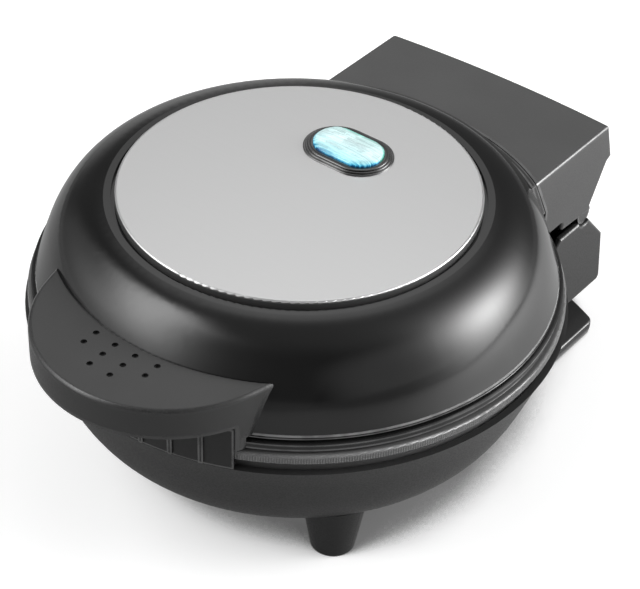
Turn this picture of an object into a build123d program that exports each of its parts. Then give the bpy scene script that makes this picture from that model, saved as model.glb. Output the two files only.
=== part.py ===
from build123d import *
from math import asin, cos, degrees, radians, sin, sqrt, tan
import os

os.makedirs("parts", exist_ok=True)

# ======================================================================
# Driving dimensions, in millimetres and degrees
# ======================================================================
# The body axis stands upright through the middle of the round plates, and
# radii, fronts and backs are taken from it. Heights are above the table.
# _in and _out are distances inside and outside the edge of what carries the
# piece, and _rise and _drop are above and below it.

# Base bowl
bowl_r = 100.0  # top edge
bowl_lift = 17.0  # table to the flat under the bowl
bowl_depth = 45.0
bowl_flat_in = 34.0  # edge of the flat, inside the top edge
bowl_lean = 10.7  # how far the side leans in
bowl_side_h = 22.0  # length of the straight run of the side
bowl_heel = 3.5  # how low the side turns under
shell_t = 2.6
ledge_reach = 4.0  # inner ledge that carries the trim ring
ledge_t = 2.0
ledge_drop = 2.0
foot_boss_r = 4.0
foot_boss_h = 12.0

# Seam stack between bowl and dome
recess_h = 3.2
recess_in = 3.8
ring_h = 3.8
ring_in = 1.3
ring_edge_r = 0.7
ring_web_t = 3.0
ring_skirt_t = 2.4
seam_gap = 1.2
rim_in = 2.8
rim_band_h = 2.6
rim_groove_h = 2.0
rim_groove_in = 2.2
rim_lip_h = 3.4
rim_lip_t = 2.0
rim_lip_gap = 1.6
rim_bead = 0.3
collar_rise = 2.8  # foot of the rear collar, above the foot of the lid

# Lid dome and steel disc
dome_in = 1.6  # inside the rim
dome_h = 31.8
dome_lean = 4.1
dome_side_h = 12.1
shoulder_in = 25.6  # where the dome's side ends, inside its foot
shoulder_reach = 19.0
shoulder_drop = 3.1
dome_t = 2.4
disc_in = 4.0  # inside the shoulder
disc_gap = 1.4
disc_t = 0.8
disc_skirt_h = 3.4
disc_seat_t = 2.4
disc_edge_r = 0.1  # inside its turned edge
disc_over_shoulder = 2.2

# Indicator window
lamp_back = 28.6  # centre of the window, behind the body axis
bezel_l = 35.6
bezel_w = 25.2
bezel_h = 1.5
lens_l = 28.4
lens_w = 17.2
lens_wall_h = 0.7  # upright wall, above the bezel
lens_facet = 45.0  # slope of the facet round its edge
lens_rise = 1.5  # crown above the wall
lens_over = 1.6
flute_n = 7
flute_depth = 0.45
lamp_r = 2.6
lamp_l = 11.0
lamp_pitch = 12.0
lamp_drop = 2.4  # below the holder's top
holder_l = 46.0
holder_w = 16.0
holder_h = 5.6
holder_t = 1.2
holder_corner_r = 2.0
holder_screw_x = 19.4
lens_sink = 1.6  # its seat, below the top of the disc
lens_ledge = 1.4
bezel_steps = 3
bezel_step_in = 0.85
bezel_edge_r = 0.3
sleeve_t = 1.6

# Handle
handle_out = 18.8  # front of the handle, ahead of the bowl
tip_x = 48.8
tip_in = 24.3  # tips, behind the front of the bowl
flank_lean = 15.0
handle_drop = 13.6  # below the top of the dome
handle_h = 12.4
handle_t = 3.0
handle_wall_t = 2.4
handle_edge_r = 1.6
handle_seam_r = 1.2  # rounded edge beside the dome
root_guard_angle = 0.18
handle_screw_angles = (-15.0, 15.0)
handle_screw_drop = 9.0
pip_r = 1.15
pip_depth = 1.1
pip_bow = 0.0043  # per millimetre of x squared
pip_rows = (  # distance behind the front of the handle, and places across
    (25.2, (-13.7, -4.5, 4.5, 13.7)),
    (19.1, (-13.7, -4.5, 4.5, 13.7)),
    (12.7, (-4.5, 4.5)),
)

# Finger guard on the base, under the handle
guard_in = 0.1
guard_t = 1.9
guard_side_in = 0.8  # angle between its end and the handle's flank
guard_n = 8
guard_rib_w = 1.9
guard_rib_h = 0.7
guard_rib_short = 1.0
guard_rib_end_r = 0.5
guard_clear = 1.0  # below the handle's skirt

# Hinge
hinge_out = 18.5  # behind the bowl
hinge_drop = 8.5  # below the top of the bowl
open_angle = 105.0
stop_margin = 2.8
pin_r = 1.9
pin_fit = 0.05
pin_press = 0.02
knuckle_r = 4.2
ear_t = 4.4
ear_gap = 0.5
hinge_boss_l = 5.5  # the lid housing's knuckles
barrel_half_w = 27.0  # middle barrel of the lid's housing
pin_head_r = 3.2
pin_head_t = 1.2
pin_l = 9.8
hinge_relief_r = 4.7
ear_foot_half = 8.0

# Hinge housings
housing_half_w = 52.0
housing_t = 2.4
housing_out = 17.5  # back of the lower housing, behind the hinge
upper_drop = 15.6  # top of the upper housing, below the top of the dome
upper_back_out = 9.9  # behind the hinge
upper_bow = 2.6  # how far the top's rear edge bows out at its middle
upper_heel_out = 14.7
upper_heel_rise = 21.2  # above the hinge
upper_slant = 59.5
upper_slant_far = 22.9
upper_slant_near = 4.6
upper_hem_out = 3.7
upper_hem_rise = 1.2
upper_hem_lift = 1.3  # how much higher its front end is
upper_corner_r = 1.5
web_w = 6.0  # web over each knuckle
web_h = 16.0
web_shift = -1.5
upper_notch_rise = 6.5
lower_top_drop = 2.1  # below the hinge
lower_step_drop = 5.1
lower_step_in = 2.0  # inside the bowl
lower_ramp_out = 1.0  # outside the bowl
lower_knee = 22.7
lower_floor_drop = 5.2  # below the bowl
lower_foot_r = 2.6
lower_heel_rise = 2.7
lower_toe_in = 14.0
housing_root_in = 30.0  # where the side outlines start, inside the bowl and dome
housing_edge_r = 1.2
housing_screw_in = 9.8  # inside the housings' sides
housing_screw_rise = 21.0  # above the foot of the bowl
upper_screw_drop = 9.0  # below the top of the upper housing
rib_boss_r = 3.5  # bosses of the housings' screws
rib_boss_out = 10.0  # how far they stand out from the bowl or dome
tongue_boss_h = 12.0
tongue_screw_x = 30.0
tongue_screw_in = 13.5  # ahead of the hinge
collar_foot_out = 0.4  # outside the bowl
collar_top_in = 2.9  # inside the dome's foot
collar_gap = 0.4

# Cooking plates
plate_in = 12.0
plate_t = 3.0
plate_gap = 0.6
well_in = 8.0
well_slope = 5.0  # how far its side leans in
well_depth = 12.0
well_floor_fillet_r = 4.0
well_rim_fillet_r = 1.2
boss_r = 4.5
boss_in = 26.0
boss_n = 3
boss_h = 15.0
upper_boss_h = 8.0
boss_pilot = 11.0
upper_boss_pilot = 6.5
reflector_t = 0.8
reflector_in = 6.0
reflector_lip = 3.0
upper_reflector_in = 12.0
upper_reflector_lip = 2.4
reflector_eye_r = 12.0
reflector_hole_gap = 1.0
post_r = 5.5
screw_bite = 10.4  # how far the plate screws reach into their bosses
upper_screw_bite = 6.0

# Tubular heating elements
element_r = 3.25
element_in = 40.0
element_gap_angle = 24.0
element_fit = 0.05
element_leg = 16.0
upper_element_leg = 9.0
element_pin_r = 1.2
element_pin_l = 4.0
channel_w = 14.0
channel_h = 2.6

# Thermostat, fuse, terminal block and leads
thermostat_r = 8.0
thermostat_h = 7.0
thermostat_ear_l = 26.0
thermostat_ear_w = 8.0
thermostat_ear_t = 1.2
thermostat_tab_t = 0.8
thermostat_tab_w = 4.0
thermostat_tab_l = 5.0
fuse_r = 2.2
fuse_l = 14.0
fuse_gap = 12.0  # behind the element
block_in = 6.5  # ahead of the hinge
block_l = 46.0
block_w = 11.0
block_h = 12.0
block_corner_r = 1.5
block_screw_r = 1.6
block_ways = 6
block_way_depth = 7.0
lead_r = 1.2
lead_bend_r = 5.0
upper_lead_turn_in = 12.0
upper_lead_drop_in = 2.0
wire_window_w = 38.0
wire_window_h = 14.0
wire_window_r = 3.0
lid_window_drop = 10.0
lid_window_h = 10.0
lead_break = 4.0  # each tail ends this far from the hinge axis height

# Feet
foot_r = 8.2
foot_taper = 10.0
foot_out = 4.0  # centres, outside the edge of the bowl's flat
foot_angle = 40.1  # forward and back from the sides
foot_height = 24.0  # before the bowl cuts it
foot_seat_z = 9.0
foot_screw_l = 18.0
pad_r = 7.2
pad_hole_r = 4.4
pad_t = 1.6
pad_stand = 0.6

# Cord storage tongue and cord entry
tongue_half_w = 61.0
tongue_in = 2.6  # ahead of the housing's back
tongue_top_z = 5.0
tongue_t = 3.4
tongue_front_in = 20.0  # inside the bowl
tongue_corner_r = 5.0
tongue_edge_r = 1.0
tongue_screw_bite = 10.0
neck_half_w = 36.0
neck_half_l = 13.0
gland_rise = 12.2  # above the housing's floor
gland_bore_r = 3.6
gland_r = 5.6
gland_flange_r = 7.6
gland_flange_t = 1.0
gland_l = 9.0

# Screws
screw_r = 1.5
screw_head_r = 3.0
screw_head_h = 2.0
screw_fit = 0.2
wall_spot = 0.6  # flat sunk into a curved wall under a screw head
pilot_fit = 0.05
pilot_end = 1.0  # left between a pilot hole and the end of its boss or screw
seat_gap = 0.1  # between pieces that are screwed or pressed together

# Vents under the bowl
vent_n = 6
vent_l = 18.0
vent_w = 3.0
vent_ring_r = 40.0

# ======================================================================
# Worked-out radii and reaches, from the body axis
# ======================================================================
bowl_flat_r = bowl_r - bowl_flat_in
ring_r = bowl_r - ring_in
rim_r = bowl_r - rim_in
dome_r = rim_r - dome_in
shoulder_r = dome_r - shoulder_in
disc_r = shoulder_r - disc_in
guard_r = bowl_r - guard_in
plate_r = bowl_r - plate_in
well_r = plate_r - well_in
well_floor_r = well_r - well_slope
boss_pitch_r = plate_r - boss_in
element_ring_r = plate_r - element_in
reflector_r = plate_r - reflector_in
upper_reflector_r = plate_r - upper_reflector_in
upper_lead_turn = plate_r - upper_lead_turn_in
upper_lead_drop = plate_r - upper_lead_drop_in
housing_root = bowl_r - housing_root_in
lower_toe_back = bowl_r - lower_toe_in
lower_step_back = bowl_r - lower_step_in
lower_ramp_back = bowl_r + lower_ramp_out
collar_foot_r = bowl_r + collar_foot_out
collar_top_r = dome_r - collar_top_in
hinge_back = bowl_r + hinge_out
upper_back = hinge_back + upper_back_out
upper_heel_back = hinge_back + upper_heel_out
upper_hem_back = hinge_back + upper_hem_out
block_back = hinge_back - block_in
tongue_screw_back = hinge_back - tongue_screw_in
rear_reach = hinge_back + housing_out
tongue_r = rear_reach - tongue_in
tongue_front = bowl_r - tongue_front_in
front_reach = bowl_r + handle_out
tip_back = bowl_r - tip_in
axis_y = (front_reach - rear_reach) / 2  # puts the origin mid-length

# ======================================================================
# Worked-out heights and angles
# ======================================================================
bowl_top_z = bowl_lift + bowl_depth
ring_z = bowl_top_z + recess_h
seam_z = ring_z + ring_h
lid_z = seam_z + seam_gap
dome_z = lid_z + rim_band_h + rim_groove_h
shoulder_z = dome_z + dome_h
disc_top_z = shoulder_z + disc_over_shoulder
seat_z = disc_top_z - disc_skirt_h
holder_top_z = seat_z - disc_seat_t
lamp_z = holder_top_z - lamp_drop
lens_seat_z = disc_top_z - lens_sink
collar_foot_z = lid_z + collar_rise
handle_top_z = shoulder_z - handle_drop
handle_skirt_z = handle_top_z - handle_h
handle_screw_z = handle_top_z - handle_screw_drop
guard_top_z = handle_skirt_z - guard_clear
hinge_z = bowl_top_z - hinge_drop
upper_top_z = shoulder_z - upper_drop
upper_screw_z = upper_top_z - upper_screw_drop
lid_window_z = upper_top_z - lid_window_drop
upper_heel_z = hinge_z + upper_heel_rise
upper_hem_z = hinge_z + upper_hem_rise
upper_notch_z = hinge_z + upper_notch_rise
lower_top_z = hinge_z - lower_top_drop
lower_step_z = hinge_z - lower_step_drop
lower_floor_z = bowl_lift - lower_floor_drop
lower_heel_z = lower_floor_z + lower_heel_rise
housing_screw_z = bowl_lift + housing_screw_rise
gland_z = lower_floor_z + gland_rise
lower_chamfer = upper_slant - open_angle - stop_margin
housing_screw_swing = degrees(asin((housing_half_w - housing_screw_in) / bowl_r))
housing_screw_angles = (180 - housing_screw_swing, 180 + housing_screw_swing)

# Handle outline: one front arc, tangent to two straight flanks
lean = radians(flank_lean)
grip_r = (cos(lean) * tip_x - sin(lean) * (front_reach - tip_back)) / (1 - sin(lean))
grip_y = grip_r - front_reach
flank_reach = tip_x * cos(lean) + tip_back * sin(lean)  # flank's nearest distance from the axis
guard_half = degrees(asin(flank_reach / guard_r)) - flank_lean - guard_side_in

# Frames
FROM_FOOT = (Align.CENTER, Align.CENTER, Align.MIN)
BODY_AXIS = Axis((0, axis_y, 0), (0, 0, 1))
SECTION = Plane(origin=(0, axis_y, 0), x_dir=(1, 0, 0), z_dir=(0, -1, 0))


def level(height):
    """Horizontal plane with its origin on the body axis."""
    return Plane(origin=(0, axis_y, height))


def upright(x):
    """Fore-and-aft plane: local X runs to the rear, local Y up."""
    return Plane(origin=(x, axis_y, 0), x_dir=(0, 1, 0), z_dir=(1, 0, 0))


def rearward(x, back, height):
    """Plane that faces the rear, at a distance behind the body axis."""
    return Plane(origin=(x, axis_y + back, height), x_dir=(-1, 0, 0), z_dir=(0, 1, 0))


def forward(x, back, height):
    """Plane that faces the front, at a distance behind the body axis."""
    return Plane(origin=(x, axis_y + back, height), x_dir=(1, 0, 0), z_dir=(0, -1, 0))


def outward(angle, reach, height):
    """Plane that faces away from the body axis; the angle is from the front."""
    a = radians(angle)
    origin = (reach * sin(a), axis_y - reach * cos(a), height)
    return Plane(origin=origin, x_dir=(cos(a), sin(a), 0), z_dir=(sin(a), -cos(a), 0))


def about_pivot(radius, angle):
    """Point in an upright plane, at a radius and an angle about the hinge axis."""
    a = radians(angle)
    return (hinge_back + radius * cos(a), hinge_z + radius * sin(a))


def dome_curve(inset):
    """Side of the dome in section, moved inwards by an inset."""
    top_z = shoulder_z - inset
    return (
        (dome_r - inset, dome_z),
        (dome_r - dome_lean - inset, dome_z + dome_side_h),
        (shoulder_r + shoulder_reach - inset, top_z - shoulder_drop),
        (shoulder_r, top_z),
    )


def bowl_curve(inset):
    """Side of the bowl in section, moved inwards by an inset."""
    side_r = bowl_r - bowl_lean - inset
    return (
        (bowl_r - inset, bowl_top_z),
        (side_r, bowl_top_z - bowl_side_h),
        (side_r, bowl_lift + bowl_heel + inset),
        (bowl_flat_r, bowl_lift + inset),
    )


def wall_reach(curve, height):
    """Radius of a dome or bowl curve at a height, found by halving."""
    low, high = 0.0, 1.0
    rising = curve[3][1] > curve[0][1]
    for _ in range(40):
        t = (low + high) / 2
        w = ((1 - t) ** 3, 3 * t * (1 - t) ** 2, 3 * t * t * (1 - t), t**3)
        z = sum(k * p[1] for k, p in zip(w, curve))
        if (z < height) == rising:
            low = t
        else:
            high = t
    return sum(k * p[0] for k, p in zip(w, curve))


def dome_plug(gap):
    """Solid that fills the dome and stands proud of it by a gap."""
    with BuildPart() as plug:
        with BuildSketch(SECTION):
            with BuildLine():
                curve = Bezier(*dome_curve(-gap))
                Polyline(curve @ 1, (0, shoulder_z + gap), (0, dome_z), curve @ 0)
            make_face()
        revolve(axis=BODY_AXIS)
    return plug.part


def bowl_plug(gap):
    """Solid that fills the bowl and stands proud of it by a gap."""
    with BuildPart() as plug:
        with BuildSketch(SECTION):
            with BuildLine():
                curve = Bezier(*bowl_curve(-gap))
                Polyline(curve @ 1, (0, bowl_lift - gap), (0, bowl_top_z), curve @ 0)
            make_face()
        revolve(axis=BODY_AXIS)
    return plug.part


def wedge_points(half_angle, reach, facing):
    """Triangle that spans a half angle each side of the front (-1) or rear (+1)."""
    a = radians(half_angle)
    return ((0, 0), (-reach * sin(a), facing * reach * cos(a)), (reach * sin(a), facing * reach * cos(a)))


def bolt_circle():
    """Places of the plate screws, first one towards the front."""
    return PolarLocations(boss_pitch_r, boss_n, start_angle=-90)


def add_screw(seat, length):
    """Screw with its head behind the seat plane and its shank ahead of it."""
    with BuildSketch(seat) as head:
        Circle(screw_head_r)
    extrude(head.sketch, amount=-screw_head_h)
    with BuildSketch(seat) as shank:
        Circle(screw_r)
    extrude(shank.sketch, amount=length)


# ======================================================================
# Base: bowl, trim ring, finger guard
# ======================================================================
foot_x = (bowl_flat_r + foot_out) * cos(radians(foot_angle))
foot_y = (bowl_flat_r + foot_out) * sin(radians(foot_angle))
foot_places = [(sx * foot_x, sy * foot_y) for sx in (-1, 1) for sy in (-1, 1)]
bowl_floor_z = bowl_lift + shell_t
post_top_z = seam_z - well_depth - plate_t - boss_h - reflector_t
ledge_z = bowl_top_z - ledge_drop
sleeve_l = lens_l + 2 * sleeve_t
sleeve_w = lens_w + 2 * sleeve_t
bowl_side_reach = wall_reach(bowl_curve(0), housing_screw_z)
ear_x = housing_half_w - housing_t - hinge_boss_l - ear_gap - ear_t

with BuildPart() as base_bowl:
    with BuildSketch(SECTION):
        with BuildLine():
            outer = Bezier(*bowl_curve(0))
            inner = Bezier(*bowl_curve(shell_t))
            Line(outer @ 0, inner @ 0)
            Polyline(outer @ 1, (0, bowl_lift), (0, bowl_floor_z), inner @ 1)
        make_face()
    revolve(axis=BODY_AXIS)
    # ledge that carries the trim ring
    with BuildSketch(level(ledge_z)):
        Circle(bowl_r - shell_t)
        Circle(bowl_r - shell_t - ledge_reach, mode=Mode.SUBTRACT)
    extrude(amount=-ledge_t)
    # posts for the plate screws and bosses for the foot screws
    with BuildSketch(level(bowl_floor_z)):
        with bolt_circle():
            Circle(post_r)
    extrude(amount=post_top_z - bowl_floor_z)
    with BuildSketch(level(bowl_lift + shell_t / 2)):
        with Locations(*foot_places):
            Circle(foot_boss_r)
    extrude(amount=foot_boss_h)
    # the ledge ends at the wall's outside
    add(bowl_plug(0), mode=Mode.INTERSECT)
    with BuildSketch(level(bowl_lift)):
        with bolt_circle():
            Circle(screw_r + screw_fit)
    extrude(amount=post_top_z - bowl_lift, mode=Mode.SUBTRACT)
    with BuildSketch(level(bowl_lift)):
        with bolt_circle():
            Circle(screw_head_r + screw_fit)
    extrude(amount=screw_head_h + screw_fit, mode=Mode.SUBTRACT)
    with BuildSketch(level(bowl_lift)):
        with Locations(*foot_places):
            Circle(screw_r + pilot_fit)
    extrude(amount=foot_boss_h, mode=Mode.SUBTRACT)
    # vents
    with BuildSketch(level(bowl_lift)):
        with PolarLocations(vent_ring_r, vent_n, start_angle=0):
            SlotOverall(vent_l, vent_w, rotation=90)
    extrude(amount=shell_t, mode=Mode.SUBTRACT)
    # way for the leads into the hinge housing
    with BuildSketch(rearward(0, 0, housing_screw_z)):
        RectangleRounded(wire_window_w, wire_window_h, wire_window_r)
    extrude(amount=bowl_r, mode=Mode.SUBTRACT)
    # screw holes of the hinge housing
    with Locations(*[outward(a, bowl_r / 2, housing_screw_z) for a in housing_screw_angles]):
        Cylinder(screw_r + screw_fit, bowl_r, align=FROM_FOOT, mode=Mode.SUBTRACT)
        Cylinder(
            screw_head_r + screw_fit,
            bowl_side_reach - shell_t + wall_spot - bowl_r / 2,
            align=FROM_FOOT,
            mode=Mode.SUBTRACT,
        )
base_bowl.part.label = "base_bowl"
export_step(base_bowl.part, "parts/base_bowl.step")

with BuildPart() as base_ring:
    with BuildSketch(SECTION):
        with BuildLine():
            Polyline(
                (plate_r + plate_gap, seam_z),
                (ring_r, seam_z),
                (ring_r, ring_z),
                (bowl_r - recess_in, ring_z),
                (bowl_r - recess_in, ledge_z),
                (bowl_r - recess_in - ring_skirt_t, ledge_z),
                (bowl_r - recess_in - ring_skirt_t, seam_z - ring_web_t),
                (plate_r + plate_gap, seam_z - ring_web_t),
                close=True,
            )
        make_face()
        rim_corners = vertices().group_by(Axis.X)[-1]
        fillet(rim_corners, ring_edge_r)
    revolve(axis=BODY_AXIS)
base_ring.part.label = "base_ring"
export_step(base_ring.part, "parts/base_ring.step")

with BuildPart() as finger_guard:
    # curved panel, with a foot held between the bowl's edge and the trim ring
    with BuildSketch(SECTION):
        with BuildLine():
            Polyline(
                (bowl_r - recess_in + seat_gap, bowl_top_z),
                (guard_r, bowl_top_z),
                (guard_r, guard_top_z),
                (guard_r - guard_t, guard_top_z),
                (guard_r - guard_t, seam_z + seat_gap),
                (ring_r + seat_gap, seam_z + seat_gap),
                (ring_r + seat_gap, ring_z - seat_gap),
                (bowl_r - recess_in + seat_gap, ring_z - seat_gap),
                close=True,
            )
        make_face()
    revolve(axis=BODY_AXIS)
    with BuildSketch(level(bowl_top_z)):
        Polygon(*wedge_points(guard_half, 2 * guard_r, -1), align=None)
    extrude(amount=guard_top_z - bowl_top_z, mode=Mode.INTERSECT)
    # upright ribs
    for i in range(1, guard_n):
        with BuildSketch(outward(guard_half * (2 * i / guard_n - 1), guard_r - guard_t / 2, bowl_top_z)):
            with Locations((0, (guard_top_z - bowl_top_z) / 2)):
                RectangleRounded(guard_rib_w, guard_top_z - bowl_top_z - guard_rib_short, guard_rib_end_r)
        extrude(amount=guard_t / 2 + guard_rib_h)
finger_guard.part.label = "finger_guard"
export_step(finger_guard.part, "parts/finger_guard.step")

# ======================================================================
# Cooking plates, elements and heat reflectors
# ======================================================================
def plate_section(face_z, up):
    """Half section of a plate; up is +1 where the well opens upwards."""
    floor_z = face_z - up * well_depth
    back_z = floor_z - up * plate_t
    return (
        (0, floor_z),
        (well_floor_r, floor_z),
        (well_r, face_z),
        (plate_r, face_z),
        (plate_r, face_z - up * plate_t),
        (well_r + plate_t, face_z - up * plate_t),
        (well_floor_r + plate_t, back_z),
        (0, back_z),
    )


def channel_points(back_z, up):
    """Cast rib round the back of a plate, which holds the element."""
    near = element_ring_r - channel_w / 2
    far = element_ring_r + channel_w / 2
    return ((near, back_z), (far, back_z), (far, back_z - up * channel_h), (near, back_z - up * channel_h))


lower_back_z = seam_z - well_depth - plate_t
upper_back_z = lid_z + well_depth + plate_t

with BuildPart() as lower_plate:
    with BuildSketch(SECTION):
        with BuildLine():
            Polyline(*plate_section(seam_z, 1), close=True)
        make_face()
        fillet(vertices().sort_by_distance((well_floor_r, seam_z - well_depth))[0], well_floor_fillet_r)
        fillet(vertices().sort_by_distance((well_r, seam_z))[0], well_rim_fillet_r)
    revolve(axis=BODY_AXIS)
    with BuildSketch(SECTION):
        with BuildLine():
            Polyline(*channel_points(lower_back_z, 1), close=True)
        make_face()
    revolve(axis=BODY_AXIS)
    with BuildSketch(level(lower_back_z)):
        with bolt_circle():
            Circle(boss_r)
    extrude(amount=-boss_h)
    with BuildSketch(level(lower_back_z - boss_h)):
        with bolt_circle():
            Circle(screw_r + pilot_fit)
    extrude(amount=boss_pilot, mode=Mode.SUBTRACT)
    # half-round seat of the element
    with BuildSketch(SECTION):
        with Locations((element_ring_r, lower_back_z - channel_h)):
            Circle(element_r + element_fit)
    revolve(axis=BODY_AXIS, mode=Mode.SUBTRACT)
lower_plate.part.label = "lower_plate"
export_step(lower_plate.part, "parts/lower_plate.step")

with BuildPart() as upper_plate:
    with BuildSketch(SECTION):
        with BuildLine():
            Polyline(*plate_section(lid_z, -1), close=True)
        make_face()
        fillet(vertices().sort_by_distance((well_floor_r, lid_z + well_depth))[0], well_floor_fillet_r)
        fillet(vertices().sort_by_distance((well_r, lid_z))[0], well_rim_fillet_r)
    revolve(axis=BODY_AXIS)
    with BuildSketch(SECTION):
        with BuildLine():
            Polyline(*channel_points(upper_back_z, -1), close=True)
        make_face()
    revolve(axis=BODY_AXIS)
    with BuildSketch(level(upper_back_z)):
        with bolt_circle():
            Circle(boss_r)
    extrude(amount=upper_boss_h)
    with BuildSketch(level(upper_back_z + upper_boss_h)):
        with bolt_circle():
            Circle(screw_r + pilot_fit)
    extrude(amount=-upper_boss_pilot, mode=Mode.SUBTRACT)
    with BuildSketch(SECTION):
        with Locations((element_ring_r, upper_back_z + channel_h)):
            Circle(element_r + element_fit)
    revolve(axis=BODY_AXIS, mode=Mode.SUBTRACT)
upper_plate.part.label = "upper_plate"
export_step(upper_plate.part, "parts/upper_plate.step")

lower_seat_z = lower_back_z - channel_h
upper_seat_z = upper_back_z + channel_h
half_gap = element_gap_angle / 2


def element_place(side):
    """Where one end of the element ring turns away from its plate."""
    a = radians(half_gap)
    return (side * element_ring_r * sin(a), element_ring_r * cos(a))


lead_pitch = element_place(1)[0] / 1.5
thermostat_tab_x = lead_pitch / 2
lead_outer_x = lead_pitch * 2.5


def element_body(seat_z, leg, away):
    """Ring with a gap at the rear, its two legs and the pins in their ends."""
    with BuildPart() as body:
        with BuildSketch(forward(0, 0, seat_z)):
            with Locations((element_ring_r, 0)):
                Circle(element_r)
        revolve(axis=BODY_AXIS)
        with BuildSketch(level(seat_z - element_r)):
            Polygon(*wedge_points(half_gap, 2 * element_ring_r, 1), align=None)
        extrude(amount=2 * element_r, mode=Mode.SUBTRACT)
        for side in (-1, 1):
            with BuildSketch(level(seat_z)):
                with Locations(element_place(side)):
                    Circle(element_r)
            extrude(amount=away * leg)
            with BuildSketch(level(seat_z + away * leg)):
                with Locations(element_place(side)):
                    Circle(element_pin_r)
            extrude(amount=away * element_pin_l)
            with Locations((element_place(side)[0], axis_y + element_place(side)[1], seat_z)):
                Sphere(element_r)
    return body.part


with BuildPart() as lower_element:
    add(element_body(lower_seat_z, element_leg, -1))
lower_element.part.label = "lower_element"
export_step(lower_element.part, "parts/lower_element.step")

with BuildPart() as upper_element:
    add(element_body(upper_seat_z, upper_element_leg, 1))
upper_element.part.label = "upper_element"
export_step(upper_element.part, "parts/upper_element.step")


def reflector_cuts(z):
    """Holes of a heat reflector: plate screws, element legs and the middle."""
    with BuildSketch(level(z)) as holes:
        with bolt_circle():
            Circle(screw_r + screw_fit)
        with Locations(*[element_place(side) for side in (-1, 1)]):
            Circle(element_r + reflector_hole_gap)
        Circle(reflector_eye_r)
    extrude(holes.sketch, amount=reflector_t, mode=Mode.SUBTRACT)


with BuildPart() as lower_reflector:
    with BuildSketch(level(post_top_z)):
        Circle(reflector_r)
    extrude(amount=reflector_t)
    # turned-up edge
    with BuildSketch(level(post_top_z + reflector_t)):
        Circle(reflector_r)
        Circle(reflector_r - reflector_t, mode=Mode.SUBTRACT)
    extrude(amount=reflector_lip)
    reflector_cuts(post_top_z)
lower_reflector.part.label = "lower_reflector"
export_step(lower_reflector.part, "parts/lower_reflector.step")

upper_shelf_z = upper_back_z + upper_boss_h
with BuildPart() as upper_reflector:
    with BuildSketch(level(upper_shelf_z)):
        Circle(upper_reflector_r)
    extrude(amount=reflector_t)
    with BuildSketch(level(upper_shelf_z)):
        Circle(upper_reflector_r)
        Circle(upper_reflector_r - reflector_t, mode=Mode.SUBTRACT)
    extrude(amount=-upper_reflector_lip)
    reflector_cuts(upper_shelf_z)
upper_reflector.part.label = "upper_reflector"
export_step(upper_reflector.part, "parts/upper_reflector.step")

with BuildPart() as lower_plate_screws:
    with BuildSketch(level(bowl_lift + seat_gap)):
        with bolt_circle():
            Circle(screw_head_r)
    extrude(amount=screw_head_h)
    with BuildSketch(level(bowl_lift + seat_gap + screw_head_h)):
        with bolt_circle():
            Circle(screw_r)
    extrude(amount=lower_back_z - boss_h + screw_bite - bowl_lift - screw_head_h)
lower_plate_screws.part.label = "lower_plate_screws"
export_step(lower_plate_screws.part, "parts/lower_plate_screws.step")

with BuildPart() as upper_plate_screws:
    with BuildSketch(level(seat_z - screw_fit)):
        with bolt_circle():
            Circle(screw_head_r)
    extrude(amount=-screw_head_h)
    with BuildSketch(level(seat_z - screw_fit - screw_head_h)):
        with bolt_circle():
            Circle(screw_r)
    extrude(amount=upper_shelf_z - upper_screw_bite - seat_z + screw_fit + screw_head_h)
upper_plate_screws.part.label = "upper_plate_screws"
export_step(upper_plate_screws.part, "parts/upper_plate_screws.step")

# ======================================================================
# Thermostat, fuse, terminal block and leads in the base
# ======================================================================
with BuildPart() as thermostat:
    with BuildSketch(level(lower_back_z)):
        Circle(thermostat_r)
    extrude(amount=-thermostat_h)
    with BuildSketch(level(lower_back_z)):
        SlotOverall(thermostat_ear_l, thermostat_ear_w)
    extrude(amount=-thermostat_ear_t)
    with BuildSketch(level(lower_back_z - thermostat_h)):
        with Locations((-thermostat_tab_x, 0), (thermostat_tab_x, 0)):
            Rectangle(thermostat_tab_t, thermostat_tab_w)
    extrude(amount=-thermostat_tab_l)
thermostat.part.label = "thermostat"
export_step(thermostat.part, "parts/thermostat.step")

block_floor_z = lower_floor_z + housing_t
with BuildPart() as terminal_block:
    with BuildSketch(level(block_floor_z)):
        with Locations((0, block_back)):
            RectangleRounded(block_l, block_w, block_corner_r)
    extrude(amount=block_h)
    # ways for the leads, with a clamp screw hole beside each
    with BuildSketch(level(block_floor_z + block_h)):
        with Locations((0, block_back)):
            with GridLocations(lead_pitch, 1, block_ways, 1):
                Circle(lead_r + pilot_fit)
    extrude(amount=-block_way_depth, mode=Mode.SUBTRACT)
    with BuildSketch(forward(0, block_back - block_w / 2, block_floor_z)):
        with Locations((0, block_h / 2)):
            with GridLocations(lead_pitch, 1, block_ways, 1):
                Circle(block_screw_r)
    extrude(amount=-block_w / 4, mode=Mode.SUBTRACT)
terminal_block.part.label = "terminal_block"
export_step(terminal_block.part, "parts/terminal_block.step")


def add_lead(points, radii):
    """Lead along straight runs joined by arcs; points are from the body axis."""
    with BuildLine() as route:
        FilletPolyline(*[(x, axis_y + y, z) for x, y, z in points], radius=radii)
    with BuildSketch(Plane(origin=route.line @ 0, z_dir=route.line % 0)) as ring:
        Circle(lead_r)
    sweep(ring.sketch, path=route.line)


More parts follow.
